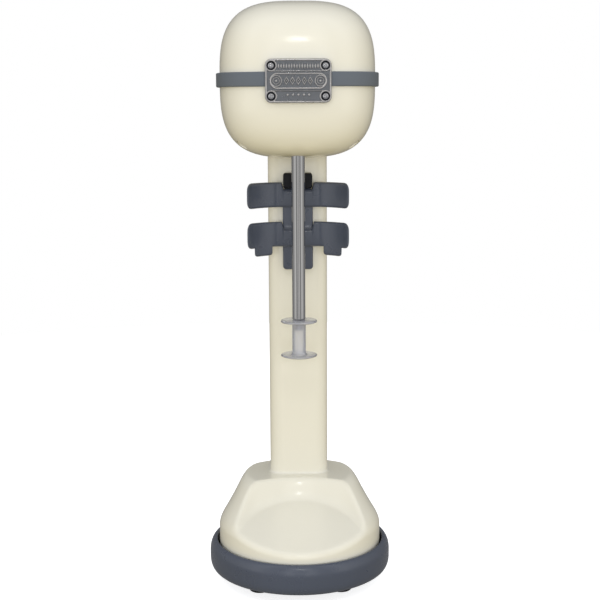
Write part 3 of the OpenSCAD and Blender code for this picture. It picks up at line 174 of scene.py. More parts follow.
def cover_height(x, y):
    """Height of the base cover's outside."""
    d = math.hypot(x, y - PLATEAU_Y)
    t = math.atan2(y - PLATEAU_Y, x)
    edge = ray_to(COVER_R - 3, t)
    rise = (PLATEAU_Z - SHOULDER_Z) / max(edge - PLATEAU_R, 2)
    dome = soft_min(PLATEAU_Z, SHOULDER_Z + rise * (edge - d), 8)
    apron = SCOOP_FOOT + APRON_SLOPE * (y - SCOOP_Y - SCOOP_R)
    far = math.hypot(x, y - SCOOP_Y) - SCOOP_R
    scoop = soft_max(apron, apron + (RISER_SLOPE + APRON_SLOPE) * far, 6)
    return soft_min(dome, scoop, 5)


def bend(a, b, c, t):
    return (1 - t) ** 2 * a + 2 * t * (1 - t) * b + t * t * c


def curve(a, b, c, n, skip=0):
    return [(bend(a[0], b[0], c[0], i / n), bend(a[1], b[1], c[1], i / n)) for i in range(skip, n + 1)]


# ------------------------------------------------------------------ mesh tools

def link(name, mesh):
    ob = bpy.data.objects.new(name, mesh)
    scene.collection.objects.link(ob)
    return ob


def shade_by_angle(mesh, angle):
    """Smooth shading, with edges sharper than angle kept sharp."""
    bm = bmesh.new()
    bm.from_mesh(mesh)
    bmesh.ops.recalc_face_normals(bm, faces=bm.faces)
    limit = math.radians(angle)
    for f in bm.faces:
        f.smooth = True
    for e in bm.edges:
        e.smooth = not (len(e.link_faces) == 2 and e.calc_face_angle(0) > limit)
    bm.to_mesh(mesh)
    bm.free()


def raw_mesh(name, verts, faces):
    mesh = bpy.data.meshes.new(name)
    mesh.from_pydata([(x * MM, y * MM, z * MM) for x, y, z in verts], [], faces)
    mesh.update()
    return mesh


def piece(name, shape, material, body, nodes=(), sharp=35):
    """A finished piece of the object from (verts, faces) in millimetres, or from a mesh."""
    mesh = shape if isinstance(shape, bpy.types.Mesh) else raw_mesh(name, *shape)
    mesh.name = name
    shade_by_angle(mesh, sharp)
    ob = link(name, mesh)
    mesh.materials.clear()
    mesh.materials.append(material)
    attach(ob, body)
    if nodes:
        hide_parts(*nodes)
    return ob


def loft(rings, caps=True, wrap=False):
    """Faces between rings of equal length; wrap joins the last ring to the first."""
    n = len(rings[0])
    verts = [p for ring in rings for p in ring]
    faces = []
    last = len(rings) if wrap else len(rings) - 1
    for j in range(last):
        a, b = j * n, ((j + 1) % len(rings)) * n
        for i in range(n):
            k = (i + 1) % n
            faces.append((a + i, a + k, b + k, b + i))
    if caps and not wrap:
        faces.append(tuple(range(n - 1, -1, -1)))
        faces.append(tuple((len(rings) - 1) * n + i for i in range(n)))
    return verts, faces


def join(*shapes):
    verts, faces = [], []
    for v, f in shapes:
        base = len(verts)
        verts += v
        faces += [tuple(i + base for i in face) for face in f]
    return verts, faces


def lathe(profile, n=96, cx=0.0, cy=0.0, closed=True):
    """A turned shape from (radius, height) points; a point on the axis becomes one vertex."""
    verts, faces, rows = [], [], []
    for r, z in profile:
        if r < 1e-6:
            rows.append([len(verts)])
            verts.append((cx, cy, z))
        else:
            rows.append([len(verts) + i for i in range(n)])
            verts += [(cx + r * math.cos(2 * math.pi * i / n), cy + r * math.sin(2 * math.pi * i / n), z)
                      for i in range(n)]
    pairs = list(zip(rows, rows[1:]))
    if closed and len(rows[0]) > 1 and len(rows[-1]) > 1:
        pairs.append((rows[-1], rows[0]))
    for a, b in pairs:
        for i in range(n):
            k = (i + 1) % n
            if len(a) == 1 and len(b) == 1:
                continue
            if len(a) == 1:
                faces.append((a[0], b[k], b[i]))
            elif len(b) == 1:
                faces.append((a[i], a[k], b[0]))
            else:
                faces.append((a[i], a[k], b[k], b[i]))
    return verts, faces


def rounded_rect(w, h, r, seg=8, inset=0.0):
    """Outline of a rounded rectangle, pulled in by inset."""
    r = max(min(r, w / 2, h / 2) - inset, 0.02)
    hw, hh = w / 2 - inset - r, h / 2 - inset - r
    pts = []
    for cx, cy, start in ((hw, hh, 0), (-hw, hh, 90), (-hw, -hh, 180), (hw, -hh, 270)):
        for i in range(seg + 1):
            a = math.radians(start + 90 * i / seg)
            pts.append((cx + r * math.cos(a), cy + r * math.sin(a)))
    return pts


def round_over(depth, r, seg=5, back=0.3):
    """Profile of a slab's side from the back (depth 0) to the rounded front edge: (inset, depth)."""
    steps = [(back, 0.0), (0.0, back)]
    steps += [(r * (1 - math.cos(math.pi / 2 * i / seg)), depth - r + r * math.sin(math.pi / 2 * i / seg))
              for i in range(seg + 1)]
    return steps


def slab(outline, profile, place):
    """A flat piece: outline(inset) gives its edge, profile its side and place puts it in the frame."""
    return loft([[place(u, v, d) for u, v in outline(i)] for i, d in profile])


def facing(axis, cx, cy, cz):
    """Placer for slabs that face -Y, +Y or +Z from the point given."""
    if axis == "-y":
        return lambda u, v, d: (cx + u, cy - d, cz + v)
    if axis == "+y":
        return lambda u, v, d: (cx + u, cy + d, cz + v)
    return lambda u, v, d: (cx + u, cy + v, cz + d)


def turned(profile, axis, cx, cy, cz, n=48):
    """A lathe shape whose axis points along -Y or +Y from the point given."""
    verts, faces = lathe(profile, n)
    s = -1 if axis == "-y" else 1
    return [(cx + x, cy + s * z, cz + y) for x, y, z in verts], faces


def cut(target, cutters, operation="DIFFERENCE"):
    """Exact boolean of a shape in millimetres, or a mesh, with shapes; gives back one mesh."""
    mesh = target if isinstance(target, bpy.types.Mesh) else raw_mesh("cut_target", *target)
    tool_mesh = raw_mesh("cut_tool", *join(*cutters))
    a, b = link("cut_a", mesh), link("cut_b", tool_mesh)
    for m in (mesh, tool_mesh):
        shade_by_angle(m, 30)
    mod = a.modifiers.new("cut", "BOOLEAN")
    mod.operation = operation
    mod.solver = "EXACT"
    mod.use_self = True
    mod.object = b
    bpy.context.view_layer.update()
    result = bpy.data.meshes.new_from_object(a.evaluated_get(bpy.context.evaluated_depsgraph_get()))
    bpy.data.objects.remove(a)
    bpy.data.objects.remove(b)
    return result


def mesh_shape(mesh):
    """A mesh back as (verts, faces) in millimetres."""
    return [tuple(v.co / MM) for v in mesh.vertices], [tuple(p.vertices) for p in mesh.polygons]


def set_head_normals(ob):
    """True normals on the faces that lie in the head's skin, so highlights run on past the cut-outs."""
    mesh = ob.data
    normals = [(0.0, 0.0, 0.0)] * len(mesh.loops)
    co = [v.co / MM for v in mesh.vertices]

    def on_skin(p):
        u = (abs(p.x / HEAD_A) ** PLAN_N + abs((p.y - HEAD_Y) / HEAD_B) ** PLAN_N) ** (SIDE_N / PLAN_N)
        return abs(u + abs((p.z - HEAD_Z) / HEAD_C) ** SIDE_N - 1) < 0.004

    skin = [on_skin(p) for p in co]
    for poly in mesh.polygons:
        if all(skin[v] for v in poly.vertices):
            for li in poly.loop_indices:
                p = co[mesh.loops[li].vertex_index]
                normals[li] = tuple(head_normal(p.x, p.y, p.z))
    mesh.normals_split_custom_set(normals)


# ------------------------------------------------------------------ materials

def srgb(r, g, b):
    """Linear colour from 0 to 255 display values."""
    return tuple((c / 255 / 12.92) if c / 255 <= 0.04045 else ((c / 255 + 0.055) / 1.055) ** 2.4
                 for c in (r, g, b)) + (1.0,)


def shaded(colour, k):
    return tuple(min(c * k, 1.0) for c in colour[:3]) + (1.0,)


class Finish:
    """A principled material with procedural colour, roughness and bump."""

    def __init__(self, name, colour, rough, metallic=0.0, **sockets):
        self.mat = bpy.data.materials.new(name)
        self.mat.use_nodes = True
        self.nodes = self.mat.node_tree.nodes
        self.links = self.mat.node_tree.links
        self.bsdf = self.nodes["Principled BSDF"]
        self.colour = colour
        self.rough = rough
        self.bsdf.inputs["Base Color"].default_value = colour
        self.bsdf.inputs["Roughness"].default_value = rough
        self.bsdf.inputs["Metallic"].default_value = metallic
        for key, value in sockets.items():
            self.bsdf.inputs[key.replace("_", " ")].default_value = value
        self.coords = self.nodes.new("ShaderNodeTexCoord").outputs["Object"]
        self.tint = None
        self.bumps = None

    def stretched(self, scale):
        m = self.nodes.new("ShaderNodeMapping")
        m.inputs["Scale"].default_value = scale
        self.links.new(self.coords, m.inputs["Vector"])
        return m.outputs["Vector"]

    def noise(self, scale, detail=3.0, stretch=None, kind="noise"):
        """Noise of a given scale per metre; stretch squeezes it along axes."""
        vector = self.stretched(stretch) if stretch else self.coords
        if kind == "voronoi":
            t = self.nodes.new("ShaderNodeTexVoronoi")
            out = t.outputs["Distance"]
        else:
            t = self.nodes.new("ShaderNodeTexNoise")
            t.inputs["Detail"].default_value = detail
            out = t.outputs["Fac"]
        t.inputs["Scale"].default_value = scale
        self.links.new(vector, t.inputs["Vector"])
        return out

    def bands(self, scale, direction="Z", distortion=0.0):
        t = self.nodes.new("ShaderNodeTexWave")
        t.bands_direction = direction
        t.inputs["Scale"].default_value = scale
        t.inputs["Distortion"].default_value = distortion
        self.links.new(self.coords, t.inputs["Vector"])
        return t.outputs["Fac"]

    def spread(self, value, low, high, out_low=0.0, out_high=1.0):
        m = self.nodes.new("ShaderNodeMapRange")
        m.inputs["From Min"].default_value = low
        m.inputs["From Max"].default_value = high
        m.inputs["To Min"].default_value = out_low
        m.inputs["To Max"].default_value = out_high
        self.links.new(value, m.inputs["Value"])
        return m.outputs["Result"]

    def mix_colour(self, mask, colour):
        """Moves the base colour towards colour where mask is 1."""
        m = self.nodes.new("ShaderNodeMix")
        m.data_type = "RGBA"
        self.links.new(mask, m.inputs["Factor"])
        if self.tint is None:
            m.inputs[6].default_value = self.colour
        else:
            self.links.new(self.tint, m.inputs[6])
        m.inputs[7].default_value = colour
        self.tint = m.outputs[2]
        self.links.new(self.tint, self.bsdf.inputs["Base Color"])
        return self

    def vary(self, scale, amount, stretch=None):
        """Soft light and dark drift of the base colour."""
        n = self.noise(scale, 4.0, stretch)
        return self.mix_colour(self.spread(n, 0.35, 0.7), shaded(self.colour, 1 - amount))

    def gloss(self, scale, amount, stretch=None):
        n = self.noise(scale, 5.0, stretch)
        out = self.spread(n, 0.3, 0.7, max(self.rough - amount, 0.02), min(self.rough + amount, 1.0))
        self.links.new(out, self.bsdf.inputs["Roughness"])
        return self

    def bump(self, height, strength, distance):
        b = self.nodes.new("ShaderNodeBump")
        b.inputs["Strength"].default_value = strength
        b.inputs["Distance"].default_value = distance
        self.links.new(height, b.inputs["Height"])
        if self.bumps is not None:
            self.links.new(self.bumps, b.inputs["Normal"])
        self.bumps = b.outputs["Normal"]
        self.links.new(self.bumps, self.bsdf.inputs["Normal"])
        return self

    def worn_edges(self, colour, low=0.53, high=0.62, amount=0.6):
        g = self.nodes.new("ShaderNodeNewGeometry")
        mask = self.spread(g.outputs["Pointiness"], low, high, 0.0, amount)
        return self.mix_colour(mask, colour)

    def dust(self, colour, scale, low, high, amount):
        """Small specks or smudges."""
        return self.mix_colour(self.spread(self.noise(scale, 6.0), low, high, 0.0, amount), colour)


SLOT = {}


def slot_finish(name, *args, **kw):
    SLOT[name] = Finish(name, *args, **kw)
    return SLOT[name]


CREAM = srgb(230, 226, 209)
f = slot_finish("cream_paint", CREAM, 0.32, Coat_Weight=0.6, Coat_Roughness=0.15)
f.vary(6, 0.02).dust(srgb(214, 208, 186), 30, 0.62, 0.85, 0.10).gloss(60, 0.04)
f.bump(f.noise(420, 2.0), 0.03, 0.0003).bump(f.noise(60, 2.0), 0.02, 0.0008)

f = slot_finish("slate_paint", srgb(74, 80, 93), 0.30, Coat_Weight=0.5, Coat_Roughness=0.16)
f.vary(12, 0.08).gloss(70, 0.05)
f.worn_edges(srgb(140, 146, 156), 0.54, 0.66, 0.35)
f.bump(f.noise(520, 3.0), 0.10, 0.0003)

f = slot_finish("band_plastic", srgb(98, 105, 113), 0.42)
f.vary(15, 0.08).gloss(80, 0.08).worn_edges(srgb(150, 153, 155), 0.54, 0.64, 0.4)
f.bump(f.noise(700, 3.0), 0.10, 0.0003)

f = slot_finish("rubber", srgb(22, 22, 24), 0.72)
f.vary(40, 0.25).gloss(90, 0.10).dust(srgb(70, 68, 66), 160, 0.62, 0.8, 0.5)
f.bump(f.noise(900, 4.0), 0.35, 0.0004)

f = slot_finish("black_plastic", srgb(15, 17, 23), 0.38, Specular_IOR_Level=0.35)
f.vary(30, 0.2).gloss(120, 0.10).worn_edges(srgb(70, 74, 84), 0.54, 0.66, 0.5)
f.bump(f.noise(1100, 2.0), 0.25, 0.0003)

f = slot_finish("red_plastic", srgb(150, 30, 26), 0.35)
f.vary(60, 0.12).gloss(150, 0.08)
f.bump(f.noise(900, 2.0), 0.1, 0.0002)

f = slot_finish("yellow_plastic", srgb(206, 160, 40), 0.35)
f.vary(60, 0.12).gloss(150, 0.08)
f.bump(f.noise(900, 2.0), 0.1, 0.0002)

f = slot_finish("nylon", srgb(214, 209, 196), 0.45)
f.vary(50, 0.08).gloss(120, 0.08).dust(srgb(150, 140, 120), 120, 0.64, 0.82, 0.3)
f.bump(f.noise(900, 2.0), 0.12, 0.0002)

f = slot_finish("clear_plastic", srgb(226, 227, 232), 0.22, Transmission_Weight=0.7, IOR=1.46)
f.vary(45, 0.03).gloss(120, 0.05)
f.bump(f.noise(300, 1.0), 0.03, 0.0002)

f = slot_finish("steel", srgb(176, 178, 180), 0.32, 1.0)
f.vary(90, 0.15).gloss(240, 0.10).dust(srgb(110, 106, 100), 200, 0.66, 0.85, 0.4)
f.bump(f.noise(1500, 3.0), 0.12, 0.0002)

f = slot_finish("polished_steel", srgb(196, 195, 194), 0.08, 1.0)
f.vary(260, 0.06, (1, 1, 0.02)).gloss(500, 0.04, (1, 1, 0.015))
f.bump(f.noise(1400, 2.0, (1, 1, 0.01)), 0.05, 0.0002)

f = slot_finish("cast_iron", srgb(62, 62, 66), 0.62, 0.7)
f.vary(40, 0.25).gloss(120, 0.12).dust(srgb(110, 80, 55), 70, 0.62, 0.8, 0.5)
f.bump(f.noise(500, 6.0), 0.6, 0.0008)

f = slot_finish("lamination", srgb(96, 97, 104), 0.45, 0.9)
f.vary(60, 0.15).gloss(200, 0.10).mix_colour(f.bands(1000), srgb(52, 54, 62))
f.bump(f.bands(1000), 0.6, 0.0002)

f = slot_finish("aluminium", srgb(168, 170, 172), 0.42, 1.0)
f.vary(60, 0.12).gloss(180, 0.10)
f.bump(f.noise(700, 5.0), 0.35, 0.0004)

f = slot_finish("brass", srgb(188, 150, 84), 0.30, 1.0)
f.vary(80, 0.15).gloss(200, 0.10).dust(srgb(110, 82, 40), 150, 0.62, 0.82, 0.5)
f.bump(f.noise(900, 3.0), 0.15, 0.0002)

f = slot_finish("copper", srgb(168, 92, 56), 0.34, 0.95)
f.vary(90, 0.2).gloss(200, 0.08).mix_colour(f.bands(700, "DIAGONAL", 1.5), srgb(110, 50, 28))
f.bump(f.bands(700, "DIAGONAL", 1.5), 0.8, 0.0003)

f = slot_finish("carbon", srgb(34, 34, 36), 0.55, 0.2)
f.vary(200, 0.2).gloss(400, 0.1)
f.bump(f.noise(1400, 4.0), 0.3, 0.0002)

f = slot_finish("lead_grey", srgb(92, 92, 96), 0.5)
f.vary(90, 0.12).gloss(200, 0.08)
f.bump(f.noise(1200, 2.0), 0.15, 0.0002)

f = slot_finish("lead_brown", srgb(96, 62, 42), 0.5)
f.vary(90, 0.12).gloss(200, 0.08)
f.bump(f.noise(1200, 2.0), 0.15, 0.0002)

# cast pewter: the relief attribute of the mesh darkens what lies low: a grey patina in the engraved field,
# and painted shade, near black, in the deep wells round the screws
f = slot_finish("pewter", srgb(222, 219, 217), 0.34, 0.9)
f.vary(160, 0.14)
attribute = f.nodes.new("ShaderNodeAttribute")
attribute.attribute_name = "relief"
f.mix_colour(f.spread(attribute.outputs["Fac"], 0.15, 0.95, 0.0, 0.9), srgb(122, 126, 132))
# painted shade: the deep wells round the screws are darkened to near black
f.mix_colour(f.spread(attribute.outputs["Fac"], 1.1, 1.9, 0.0, 0.9), srgb(34, 36, 42))
f.gloss(300, 0.12).bump(f.noise(1600, 3.0), 0.25, 0.0002)

# bright screw heads
f = slot_finish("screw_head", srgb(228, 228, 230), 0.2, 1.0)
f.vary(300, 0.15).gloss(600, 0.08)
f.bump(f.noise(1800, 2.0), 0.15, 0.0002)


def mat(name):
    return SLOT[name].mat


# ------------------------------------------------------------------ camera, floor and light

cam_data = bpy.data.cameras.new("camera")
cam_data.lens = 73.8
cam_data.sensor_width = 36
cam_data.clip_end = 60
cam = link("camera", cam_data)
cam.location = (-0.012, -1.050, 0.421)
cam.rotation_euler = (math.radians(90 - 9.31), math.radians(0.30), math.radians(-0.78))
scene.camera = cam
scene.view_settings.view_transform = "Standard"
scene.view_settings.look = "None"

WORLD_UP = (0.86, 0.87, 0.89, 1)
WORLD_DOWN = (0.60, 0.54, 0.40, 1)

world = bpy.data.worlds.new("studio")
world.use_nodes = True
scene.world = world
wn, wl = world.node_tree.nodes, world.node_tree.links
wn.clear()
out = wn.new("ShaderNodeOutputWorld")
seen = wn.new("ShaderNodeBackground")
seen.inputs["Color"].default_value = (1, 1, 1, 1)
seen.inputs["Strength"].default_value = 1.0
room = wn.new("ShaderNodeBackground")
room.inputs["Strength"].default_value = 0.92
pick = wn.new("ShaderNodeMixShader")
path = wn.new("ShaderNodeLightPath")
wl.new(path.outputs["Is Camera Ray"], pick.inputs[0])
wl.new(room.outputs[0], pick.inputs[1])
wl.new(seen.outputs[0], pick.inputs[2])
wl.new(pick.outputs[0], out.inputs["Surface"])
# a studio that is bright at the sides and above, with dark gaps beside the camera
way = wn.new("ShaderNodeTexCoord")
split = wn.new("ShaderNodeSeparateXYZ")
wl.new(way.outputs["Generated"], split.inputs[0])
around = wn.new("ShaderNodeMath")
around.operation = "ARCTAN2"
back = wn.new("ShaderNodeMath")
back.operation = "MULTIPLY"
back.inputs[1].default_value = -1.0
wl.new(split.outputs["Y"], back.inputs[0])
side = wn.new("ShaderNodeMath")
side.operation = "ABSOLUTE"
wl.new(split.outputs["X"], side.inputs[0])
wl.new(side.outputs[0], around.inputs[0])
wl.new(back.outputs[0], around.inputs[1])
turn = wn.new("ShaderNodeMath")
turn.operation = "DIVIDE"
turn.inputs[1].default_value = math.pi
wl.new(around.outputs[0], turn.inputs[0])
panels = wn.new("ShaderNodeValToRGB")
# brightness all round, from the camera's side (0) to behind the object (1)
PANEL_STOPS = [(0.0, 0.40), (0.035, 0.46), (0.075, 1.10), (0.115, 0.40), (0.17, 0.26), (0.23, 0.55),
               (0.31, 0.98), (0.40, 0.66), (0.52, 0.44), (0.70, 0.24), (1.0, 0.14)]
ramp = panels.color_ramp
while len(ramp.elements) < len(PANEL_STOPS):
    ramp.elements.new(0.5)
for element, (at, level) in zip(ramp.elements, PANEL_STOPS):
    element.position = at
    element.color = (level, level, level, 1)
wl.new(turn.outputs[0], panels.inputs[0])
# only reflections see the panels; soft light is even
up = wn.new("ShaderNodeMapRange")
up.inputs["From Min"].default_value = -0.5
up.inputs["From Max"].default_value = 0.45
wl.new(split.outputs["Z"], up.inputs["Value"])
sky = wn.new("ShaderNodeMix")
sky.data_type = "RGBA"
sky.inputs[6].default_value = WORLD_DOWN
sky.inputs[7].default_value = WORLD_UP
wl.new(up.outputs["Result"], sky.inputs["Factor"])
mirror = wn.new("ShaderNodeMix")
mirror.data_type = "RGBA"
wl.new(path.outputs["Is Glossy Ray"], mirror.inputs["Factor"])
wl.new(sky.outputs[2], mirror.inputs[6])
wl.new(panels.outputs[0], mirror.inputs[7])
wl.new(mirror.outputs[2], room.inputs["Color"])


def area_light(name, place, aim, width, height, energy, colour=(1, 1, 1)):
    data = bpy.data.lights.new(name, "AREA")
    data.shape = "RECTANGLE"
    data.size = width
    data.size_y = height
    data.energy = energy
    data.color = colour
    ob = link(name, data)
    ob.location = place
    ob.rotation_euler = (Vector(aim) - Vector(place)).to_track_quat("-Z", "Y").to_euler()
    return ob


area_light("key", (0.02, -1.30, 1.19), (0, 0, 0.35), 0.08, 0.17, 0.95)
# wide soft boxes that light the object but don't show in it
SOFT_BOXES = (("top", (0.0, -0.2, 2.2), (0, 0, 0.3), 1.8, 1.4, 2.5),
              ("front", (0.0, -2.4, 0.50), (0, 0, 0.25), 2.4, 1.0, 28.0))
SOFT_COLOUR = (0.94, 0.975, 1.10)
for name, place, aim, width, height, energy in SOFT_BOXES:
    area_light(name, place, aim, width, height, energy, SOFT_COLOUR).visible_glossy = False

FLOOR_R = 1250.0
FLOOR_SIDES = 96
floor_turn = math.tau / FLOOR_SIDES
floor_edge = [(FLOOR_R * math.cos(floor_turn * i), FLOOR_R * math.sin(floor_turn * i), 0)
              for i in range(FLOOR_SIDES)]
floor = link("floor", raw_mesh("floor", floor_edge, [tuple(range(FLOOR_SIDES))]))
floor_mat = bpy.data.materials.new("floor")
floor_mat.use_nodes = True
fn, fl = floor_mat.node_tree.nodes, floor_mat.node_tree.links
fn.clear()
f_out = fn.new("ShaderNodeOutputMaterial")
f_mix = fn.new("ShaderNodeMixShader")
f_path = fn.new("ShaderNodeLightPath")
f_add = fn.new("ShaderNodeAddShader")
f_glow = fn.new("ShaderNodeEmission")
f_glow.inputs["Strength"].default_value = 0.75
f_white = fn.new("ShaderNodeBsdfDiffuse")
f_white.inputs["Color"].default_value = (0.80, 0.80, 0.80, 1)
f_dim = fn.new("ShaderNodeBsdfDiffuse")
f_dim.inputs["Color"].default_value = (0.62, 0.53, 0.28, 1)
# the camera sees a pale floor; the object is lit by a dimmer one and mirrors a grey one
fl.new(f_glow.outputs[0], f_add.inputs[0])
fl.new(f_white.outputs[0], f_add.inputs[1])
f_mirror = fn.new("ShaderNodeEmission")
f_mirror.inputs["Color"].default_value = (0.20, 0.20, 0.21, 1)
f_bounce = fn.new("ShaderNodeMixShader")
fl.new(f_path.outputs["Is Glossy Ray"], f_bounce.inputs[0])
fl.new(f_dim.outputs[0], f_bounce.inputs[1])
fl.new(f_mirror.outputs[0], f_bounce.inputs[2])
fl.new(f_path.outputs["Is Camera Ray"], f_mix.inputs[0])
fl.new(f_bounce.outputs[0], f_mix.inputs[1])
fl.new(f_add.outputs[0], f_mix.inputs[2])
fl.new(f_mix.outputs[0], f_out.inputs["Surface"])
floor.data.materials.append(floor_mat)


# ------------------------------------------------------------------ head shells

HEAD_RING = 200
HEAD_ROWS = 44
POLE_TILT = math.radians(89.2)


def head_half(side):
    """Closed shell of half the head, above (1) or below (-1) the parting plane."""
    rows = []
    tilts = [POLE_TILT * (k / HEAD_ROWS) for k in range(HEAD_ROWS + 1)]
    for wall, order in ((0.0, tilts), (SHELL, tilts[::-1])):
        for tilt in order:
            rows.append([head_point(2 * math.pi * i / HEAD_RING, side * tilt, wall)
                         for i in range(HEAD_RING)])
    half = len(tilts)
    verts, faces = loft(rows, caps=False, wrap=True)
    # the wrap joins the inner rim to the outer rim; the two poles are closed apart
    keep = [f for n, f in enumerate(faces) if not (half - 1) * HEAD_RING <= n < half * HEAD_RING]
    top_pole, inner_pole = len(verts), len(verts) + 1
    verts = verts + [(0, HEAD_Y, HEAD_Z + side * HEAD_C), (0, HEAD_Y, HEAD_Z + side * (HEAD_C - SHELL))]
    a, b = (half - 1) * HEAD_RING, half * HEAD_RING
    for i in range(HEAD_RING):
        k = (i + 1) % HEAD_RING
        keep.append((a + i, a + k, top_pole))
        keep.append((b + k, b + i, inner_pole))
    return verts, keep


def head_body(wall):
    """Closed solid inside the lower skin, drawn in by wall."""
    tilts = [POLE_TILT * k / 30 for k in range(31)]
    rows = [[head_point(2 * math.pi * i / 96, -tilt, wall) for i in range(96)] for tilt in tilts]
    rows.insert(0, [(x, y, HEAD_Z + 5) for x, y, z in rows[0]])
    return loft(rows)


cover_top = piece("head_cover", head_half(1), mat("cream_paint"), "frame", ["motor_cover"])
set_head_normals(cover_top)

SCREW_IN, SCREW_FRONT, SCREW_REAR = 18.5, 33.0, 31.0
BOSS_R, BOSS_DEPTH = 6.4, 59.0
WELL_R, WELL_DEPTH, SCREW_HOLE_R = 4.3, 30.0, 2.3
BEARING_R, BEARING_SEAT, BEARING_TOP = 8.1, 4.5, 14.0
COLUMN_GAP = 0.2
SPINDLE_GAP = 0.4


def plug(r, low, high, n, x, y):
    """Upright solid cylinder between two heights."""
    return lathe([(0, low), (r, low), (r, high), (0, high)], n, x, y)


screw_spots = [(x, y) for x in (SCREW_IN - HEAD_A, HEAD_A - SCREW_IN)
               for y in (HEAD_Y - SCREW_FRONT, HEAD_Y + SCREW_REAR)]
bosses = [plug(BOSS_R, HEAD_Z - BOSS_DEPTH, HEAD_Z - 0.5, 40, x, y) for x, y in screw_spots]
bosses = [cut(boss, [head_body(SHELL / 2)], "INTERSECT") for boss in bosses]
lower = cut(head_half(-1), [mesh_shape(boss) for boss in bosses], "UNION")
spindle_hole = SPINDLE_R + SPINDLE_GAP
socket_w, socket_d = COL_W + 2 * COLUMN_GAP, COL_D + 2 * COLUMN_GAP
seat_z, bearing_z = HEAD_LOW_Z + BEARING_SEAT, HEAD_LOW_Z + BEARING_TOP
tools = [slab(lambda i: rounded_rect(socket_w, socket_d, COL_CORNER + COLUMN_GAP, 12, i),
              [(0, 0), (0, 40)], facing("z", 0, COL_Y, HEAD_LOW_Z - 10)),
         lathe([(0, HEAD_LOW_Z - 2), (spindle_hole, HEAD_LOW_Z - 2), (spindle_hole, seat_z),
                (BEARING_R, seat_z), (BEARING_R, bearing_z), (0, bearing_z)], 64, 0, SPINDLE_Y)]
for x, y in screw_spots:
    tools.append(plug(WELL_R, HEAD_LOW_Z - 2, HEAD_Z - WELL_DEPTH, 40, x, y))
    tools.append(plug(SCREW_HOLE_R, HEAD_Z - WELL_DEPTH - 1, HEAD_Z + 1, 24, x, y))
VENT_BOTTOM, VENT_H, VENT_W, VENT_PITCH = HEAD_Z - 36, 20.6, 3.0, 6.3
for i in range(-3, 4):
    tools.append(slab(lambda k: rounded_rect(VENT_W, VENT_H + VENT_W, VENT_W / 2, 8, k), [(0, 0), (0, 24)],
                      facing("+y", i * VENT_PITCH, HEAD_Y + HEAD_B - 14, VENT_BOTTOM + VENT_H / 2)))
lower = cut(lower, tools)
housing = piece("head_housing", lower, mat("cream_paint"), "frame", ["motor_housing"], 30)
set_head_normals(housing)

# ------------------------------------------------------------------ trim band

BAND_H = BAND_HIGH[2] - BAND_LOW[2]
BAND_PROUD = 3.0
BAND_EDGE = 1.0
section = [(0.05, -BAND_H / 2), (BAND_PROUD - BAND_EDGE, -BAND_H / 2)]
section += [(BAND_PROUD - BAND_EDGE * (1 - math.sin(a)), -BAND_H / 2 + BAND_EDGE * (1 - math.cos(a)))
            for a in (math.radians(22.5 * k) for k in range(1, 5))]
section += [(o, -z) for o, z in reversed(section)]
band_rings = [[(x, y, HEAD_Z + z) for x, y in head_outline(off, 256)] for off, z in section]
piece("band", loft(band_rings, caps=False, wrap=True), mat("band_plastic"), "frame", ["trim_band"])

# ------------------------------------------------------------------ nameplate

PLATE_W, PLATE_H, PLATE_CORNER, PLATE_FRONT, PLATE_BACK = 52.0, 34.0, 5.0, 6.3, 0.4
PLATE_Z = HEAD_Z - 1.5
SCREW_EDGE_X, SCREW_EDGE_Z = 4.75, 5.2
PLATE_SCREW = [(sx * (PLATE_W / 2 - SCREW_EDGE_X), sz * (PLATE_H / 2 - SCREW_EDGE_Z))
               for sx in (-1, 1) for sz in (-1, 1)]
ENGRAVED = 0.8


def step(d, width=0.28):
    """1 inside (d negative), 0 outside, with a soft edge."""
    t = min(max(0.5 - d / width, 0.0), 1.0)
    return t * t * (3 - 2 * t)


def sd_round_rect(x, z, w, h, r):
    qx, qz = abs(x) - w / 2 + r, abs(z) - h / 2 + r
    return math.hypot(max(qx, 0), max(qz, 0)) + min(max(qx, qz), 0) - r


def plate_depth(x, z):
    """How far the nameplate's face lies under its highest level, in millimetres."""
    edge = sd_round_rect(x, z, PLATE_W, PLATE_H, PLATE_CORNER)
    raised = step(-(edge + 1.5))
    raised = max(raised, step(abs(sd_round_rect(x, z, 45.0, 12.5, 6.2) + 0.6) - 0.55))
    if abs(x) < 20:
        raised = max(raised, 0.8 * step(abs(abs(z) - 7.6) - 0.28))
    for s in (-1, 1):
        d = math.hypot(x - s * 17.3, z)
        raised = max(raised, 0.9 * step(abs(d - 4.2) - 0.38), 0.8 * step(abs(d - 2.5) - 0.3),
                     0.9 * step(d - 0.9))
    # generic ornament: small lozenges above, large ones in the middle, beads below
    if 8.6 < z < 14.2 and abs(x) < 16.4:
        cell = (x + 16.4) % 2.05 - 1.025
        raised = max(raised, 0.85 * step((abs(cell) / 0.72 + abs(z - 11.3) / 2.3 - 1) * 0.6))
    if abs(z) < 4.0 and abs(x) < 11.6:
        cell = (x + 11.6) % 4.64 - 2.32
        lozenge = (abs(cell) / 2.1 + abs(z) / 3.4 - 1) * 1.7
        raised = max(raised, 0.9 * step(abs(lozenge + 0.35) - 0.3), 0.9 * step(lozenge + 1.25))
    if -12.6 < z < -8.6 and abs(x) < 10.5:
        cell = (x + 10.5) % 4.2 - 2.1
        raised = max(raised, 0.9 * step(math.hypot(cell, z + 10.7) - 0.85))
    depth = ENGRAVED * (1 - raised)
    for sx, sz in PLATE_SCREW:
        d = math.hypot(x - sx, z - sz)
        if d < 5.2:
            lip = step(abs(d - 4.1) - 0.5)
            depth = depth * (1 - lip)
            depth = max(depth * step(3.6 - d), 2.0 * step(d - 3.5))
    # rounded outer edge
    fall = max(edge + 1.0, 0.0)
    return depth + 1.0 - math.sqrt(max(1.0 - min(fall, 1.0) ** 2, 0.0))


